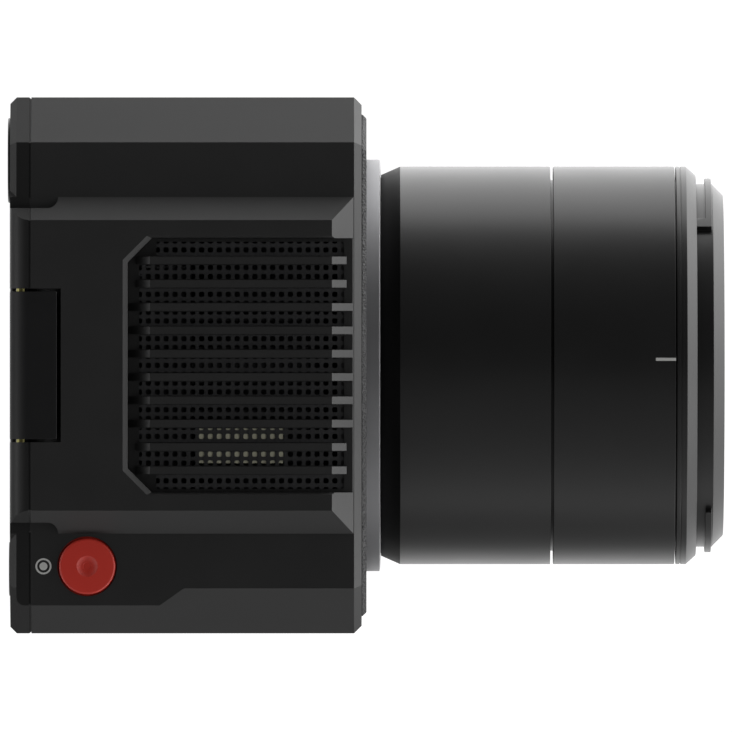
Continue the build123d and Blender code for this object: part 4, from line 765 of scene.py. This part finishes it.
# %% Cut the edges and thicken the sheet
cuts = [
    ((low[0], 0), (-1, 0)),
    ((high[0], 0), (1, 0)),
    ((0, low[1]), (0, -1)),
    ((0, high[1]), (0, 1)),
    ((low[0], low[1] + corner_cut), (-1, -1)),
    ((low[0], high[1] - corner_cut), (-1, 1)),
]
for place, outward in cuts:
    bpy.ops.mesh.select_all(action="SELECT")
    bpy.ops.mesh.bisect(
        plane_co=(place[0] * mm, place[1] * mm, high[2] * mm),
        plane_no=(*outward, 0),
        clear_outer=True,
    )
bpy.ops.object.mode_set(mode="OBJECT")
bpy.ops.object.modifier_add(type="SOLIDIFY")
thicken = sheet.modifiers[-1]
thicken.thickness = (high[2] - low[2]) * mm
thicken.offset = -1.0
bpy.ops.object.modifier_apply(modifier=thicken.name)
smooth()
dress(sheet, "perforated_sheet")
print("sheet", len(sheet.data.polygons), "faces")

# %% [markdown]
# ## Record sign
# Beside the record button there's a small ring with a dot in it, the plain sign for recording, in
# place of lettering. It's screen-printed on the flat top of the case, which is level with the
# top of the bezel. A painted image would blur close up. Two flat plates, three hundredths of a
# millimetre thick, keep a crisp edge from any distance.

# %% Record sign
flat_top = corners("front_bezel")[1][2]
sign_x, sign_y, sign_height = -64.2, -40.0, 0.03
sign_radius, sign_bore, dot_radius, sign_sides = 1.6, 1.25, 0.8, 48


def flat_mark(name, radius, bore=0.0):
    """A printed disc or ring on the top of the case, at the place of the sign."""
    bpy.ops.object.select_all(action="DESELECT")
    bpy.ops.mesh.primitive_circle_add(
        vertices=sign_sides,
        radius=radius * mm,
        fill_type="NGON",
    )
    piece = bpy.context.object
    piece.name = name
    bpy.ops.object.mode_set(mode="EDIT")
    bpy.ops.mesh.select_all(action="SELECT")
    bpy.ops.transform.translate(value=(sign_x * mm, sign_y * mm, flat_top * mm))
    if bore:
        bpy.ops.mesh.inset(thickness=(radius - bore) * mm)
        bpy.ops.mesh.delete(type="FACE")
        bpy.ops.mesh.select_all(action="SELECT")
    bpy.ops.mesh.extrude_region_move(TRANSFORM_OT_translate={"value": (0, 0, sign_height * mm)})
    bpy.ops.object.mode_set(mode="OBJECT")
    piece.data.materials.append(finishes["white_paint"])
    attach(piece, "camera")
    return piece


sign = [flat_mark("record_sign_ring", sign_radius, sign_bore)]
sign.append(flat_mark("record_sign_dot", dot_radius))
print("sign", [len(piece.data.polygons) for piece in sign])

# %% [markdown]
# ## Camera above
# The view is straight down. From a short distance the high top of the case would look larger
# than the low lens, so the camera stands six metres away with a long lens. Its focal length
# follows from the width of the frame, at a height between the lens's axis and the top of the
# case.

# %% Camera straight above
camera_distance, camera_reach = 6.0, 50.0
frame_width, frame_shift, focus_height = 146.4 * mm, -0.13 * mm, 65.0 * mm
sensor_width = 36.0
camera_data = bpy.data.cameras.new("camera")
camera_data.sensor_width = sensor_width
camera_data.lens = sensor_width * (camera_distance - focus_height) / frame_width
camera_data.clip_end = camera_reach
camera = bpy.data.objects.new("camera", camera_data)
bpy.context.scene.collection.objects.link(camera)
camera.location = (0.0, frame_shift, camera_distance)
bpy.context.scene.camera = camera
print("focal length", round(camera_data.lens), "mm")

# %% [markdown]
# ## White sheet
# The object lies on an overexposed white sheet. What the viewer sees of it and what the black
# case mirrors of it are two things, which the kind of ray tells apart. A viewer's ray sees an
# even white, just short of full strength, so that the sheet keeps the object's shadow. A mirrored
# ray sees a glow that's weak on the object's right, strong on its left and in front of the lens,
# and faint behind. So the round barrel runs out into white on its left and stays darker on its
# right. From below the sheet is open, so that the underside can be seen.

# %% The sheet
sheet_reach, sheet_gap = 3.0, 0.05 * mm
bpy.ops.object.select_all(action="DESELECT")
bpy.ops.mesh.primitive_plane_add(size=1.0)
floor = bpy.context.object
floor.name = "floor"
bpy.ops.object.mode_set(mode="EDIT")
bpy.ops.mesh.select_all(action="SELECT")
bpy.ops.transform.resize(value=(2 * sheet_reach, 2 * sheet_reach, 1))
bpy.ops.transform.translate(value=(0, 0, -sheet_gap))
bpy.ops.object.mode_set(mode="OBJECT")
print("sheet of", 2 * sheet_reach, "m")

# %% Its glow in a mirror
right_glow, left_glow, front_glow, near_glow = 0.08, 1.3, 1.6, 1.1
back_share, back_far, back_near = 0.12, -0.2, -0.075
material, tree, shader = new_material("white_floor")
shader.inputs["Base Color"].default_value = linear("#a8a8a8")
shader.inputs["Roughness"].default_value = 0.9
shader.inputs["Specular IOR Level"].default_value = 0.0
place = add(tree, "ShaderNodeTexCoord").outputs["Object"]
along, across = add(tree, "ShaderNodeSeparateXYZ", links={"Vector": place}).outputs[:2]
glow = add(tree, "ShaderNodeValue").outputs[0]
glow.default_value = right_glow
# The axis that a step runs along, its start and end (m), and what it adds
glow_steps = [
    (across, -0.115, -0.055, near_glow),
    (across, -0.02, 0.08, left_glow),
    (along, 0.06, 0.25, front_glow),
]
for axis, start, end, gain in glow_steps:
    share = add(
        tree,
        "ShaderNodeMapRange",
        settings={"interpolation_type": "SMOOTHSTEP"},
        values={"From Min": start, "From Max": end, "To Max": gain},
        links={"Value": axis},
    ).outputs["Result"]
    glow = add(tree, "ShaderNodeMath", links={0: glow, 1: share}).outputs[0]
share = add(
    tree,
    "ShaderNodeMapRange",
    settings={"interpolation_type": "SMOOTHSTEP"},
    values={"From Min": back_far, "From Max": back_near, "To Min": back_share},
    links={"Value": along},
).outputs["Result"]
glow = add(
    tree,
    "ShaderNodeMath",
    settings={"operation": "MULTIPLY"},
    links={0: glow, 1: share},
).outputs[0]
print("glow in", len(glow_steps), "steps")

# %% What each kind of ray sees
white_level = 0.93
path = add(tree, "ShaderNodeLightPath").outputs
clear = add(
    tree,
    "ShaderNodeMath",
    settings={"operation": "MAXIMUM"},
    links={0: path["Is Camera Ray"], 1: path["Is Transmission Ray"]},
).outputs[0]
white = add(
    tree,
    "ShaderNodeMath",
    settings={"operation": "MULTIPLY"},
    values={1: white_level},
    links={0: clear},
).outputs[0]
strength = add(
    tree,
    "ShaderNodeMath",
    settings={"operation": "MULTIPLY_ADD"},
    links={0: path["Is Glossy Ray"], 1: glow, 2: white},
).outputs[0]
shine = add(
    tree,
    "ShaderNodeEmission",
    values={"Color": linear("#ffffff")},
    links={"Strength": strength},
).outputs[0]
lit = add(tree, "ShaderNodeAddShader", links={0: shader.outputs[0], 1: shine}).outputs[0]
below = add(tree, "ShaderNodeNewGeometry").outputs["Backfacing"]
open_air = add(tree, "ShaderNodeBsdfTransparent").outputs[0]
surface = add(tree, "ShaderNodeMixShader", links={0: below, 1: lit, 2: open_air}).outputs[0]
tree.links.new(surface, tree.nodes["Material Output"].inputs["Surface"])
floor.data.materials.append(material)
print("floor", len(tree.nodes), "nodes")

# %% [markdown]
# ## Walls and ceiling
# Black objects are lit by what they mirror. The walls are brightest ahead of the lens, dimmer
# behind, weaker still on the left, and darken quickly with height. A dim cloth hangs on the right.
# So flat tops stay black, and every slope picks up the wall that it faces. Lamps could do it with
# softboxes. The world does it without their hard edges, from the direction of each ray alone.

# %% How far a ray leans each way
world = bpy.data.worlds.new("studio")
bpy.context.scene.world = world
world.use_nodes = True
tree = world.node_tree
place = add(tree, "ShaderNodeTexCoord").outputs["Generated"]
x, y, z = add(tree, "ShaderNodeSeparateXYZ", links={"Vector": place}).outputs
left, front, up = [
    add(
        tree,
        "ShaderNodeMath",
        settings={"operation": "MAXIMUM"},
        values={1: 0.0},
        links={0: axis},
    ).outputs[0]
    for axis in (y, x, z)
]
back = add(
    tree,
    "ShaderNodeMath",
    settings={"operation": "SUBTRACT"},
    links={0: front, 1: x},
).outputs[0]
print("leans", len(tree.nodes), "nodes")

# %% Walls and ceiling
wall_level, left_gain, front_gain, back_gain = 0.1, 0.4, 5.4, 2.6
height_fade, ceiling_level = 0.037, 0.04
wall = add(tree, "ShaderNodeValue").outputs[0]
wall.default_value = wall_level
for gain, share in ((left_gain, left), (front_gain, front), (back_gain, back)):
    wall = add(
        tree,
        "ShaderNodeMath",
        settings={"operation": "MULTIPLY_ADD"},
        values={1: gain},
        links={0: share, 2: wall},
    ).outputs[0]
fade = add(
    tree,
    "ShaderNodeMath",
    settings={"operation": "POWER"},
    values={0: height_fade},
    links={1: up},
).outputs[0]
wall = add(
    tree,
    "ShaderNodeMath",
    settings={"operation": "MULTIPLY"},
    links={0: wall, 1: fade},
).outputs[0]
level = add(
    tree,
    "ShaderNodeMath",
    settings={"operation": "MULTIPLY_ADD"},
    values={1: ceiling_level},
    links={0: up, 2: wall},
).outputs[0]
print("walls", len(tree.nodes), "nodes")

# %% Dark cloth on the right, and white for the viewer
cloth_low, cloth_drop, cloth_edge = 0.46, 0.3, 0.25
cloth = add(
    tree,
    "ShaderNodeMath",
    settings={"operation": "MULTIPLY_ADD"},
    values={1: -cloth_drop, 2: cloth_low},
    links={0: up},
).outputs[0]
right = add(
    tree,
    "ShaderNodeMapRange",
    settings={"interpolation_type": "SMOOTHSTEP"},
    values={"From Min": 0.0, "From Max": -cloth_edge},
    links={"Value": y},
).outputs["Result"]
level = add(
    tree,
    "ShaderNodeMath",
    settings={"operation": "MULTIPLY_ADD"},
    links={0: cloth, 1: right, 2: level},
).outputs[0]
viewer = add(tree, "ShaderNodeLightPath").outputs["Is Camera Ray"]
level = add(
    tree,
    "ShaderNodeMath",
    settings={"operation": "MAXIMUM"},
    links={0: level, 1: viewer},
).outputs[0]
sky = tree.nodes["Background"]
sky.inputs["Color"].default_value = linear("#ffffff")
tree.links.new(level, sky.inputs["Strength"])
print("world", len(tree.nodes), "nodes")

# %% [markdown]
# ## Lamp
# One round lamp hangs nearly above and brings out the colours: the red button, the white line
# and the pale block under the holes of the sheet. A lamp over a glossy case would show as a
# bright patch. A studio crosses two polarisers against that, and here the lamp is left out of
# what surfaces mirror.

# %% Lamp above, behind a polariser
lamp_distance, lamp_height_angle, lamp_radius = 2.0, 83, 0.2
lamp_power, pool_radius, pool_edge = 60.0, 0.16, 0.8
lamp_data = bpy.data.lights.new("top_lamp", "SPOT")
lamp_data.energy = lamp_power
lamp_data.shadow_soft_size = lamp_radius
lamp_data.spot_size = 2 * math.atan(pool_radius / lamp_distance)
lamp_data.spot_blend = pool_edge
lamp = bpy.data.objects.new("top_lamp", lamp_data)
bpy.context.scene.collection.objects.link(lamp)
rise = math.radians(lamp_height_angle)
lamp.location = (lamp_distance * math.cos(rise), 0.0, lamp_distance * math.sin(rise))
lamp.rotation_euler = (-lamp.location).to_track_quat("-Z", "Y").to_euler()
lamp.visible_glossy = False
lamp.visible_camera = False
print("lamp", [round(v, 3) for v in lamp.location])

# %% [markdown]
# ## View settings
# The colours are shown through Blender's standard view transform. The new pieces have to
# stay in the old box.

# %% View settings
bpy.context.scene.view_settings.view_transform = "Standard"
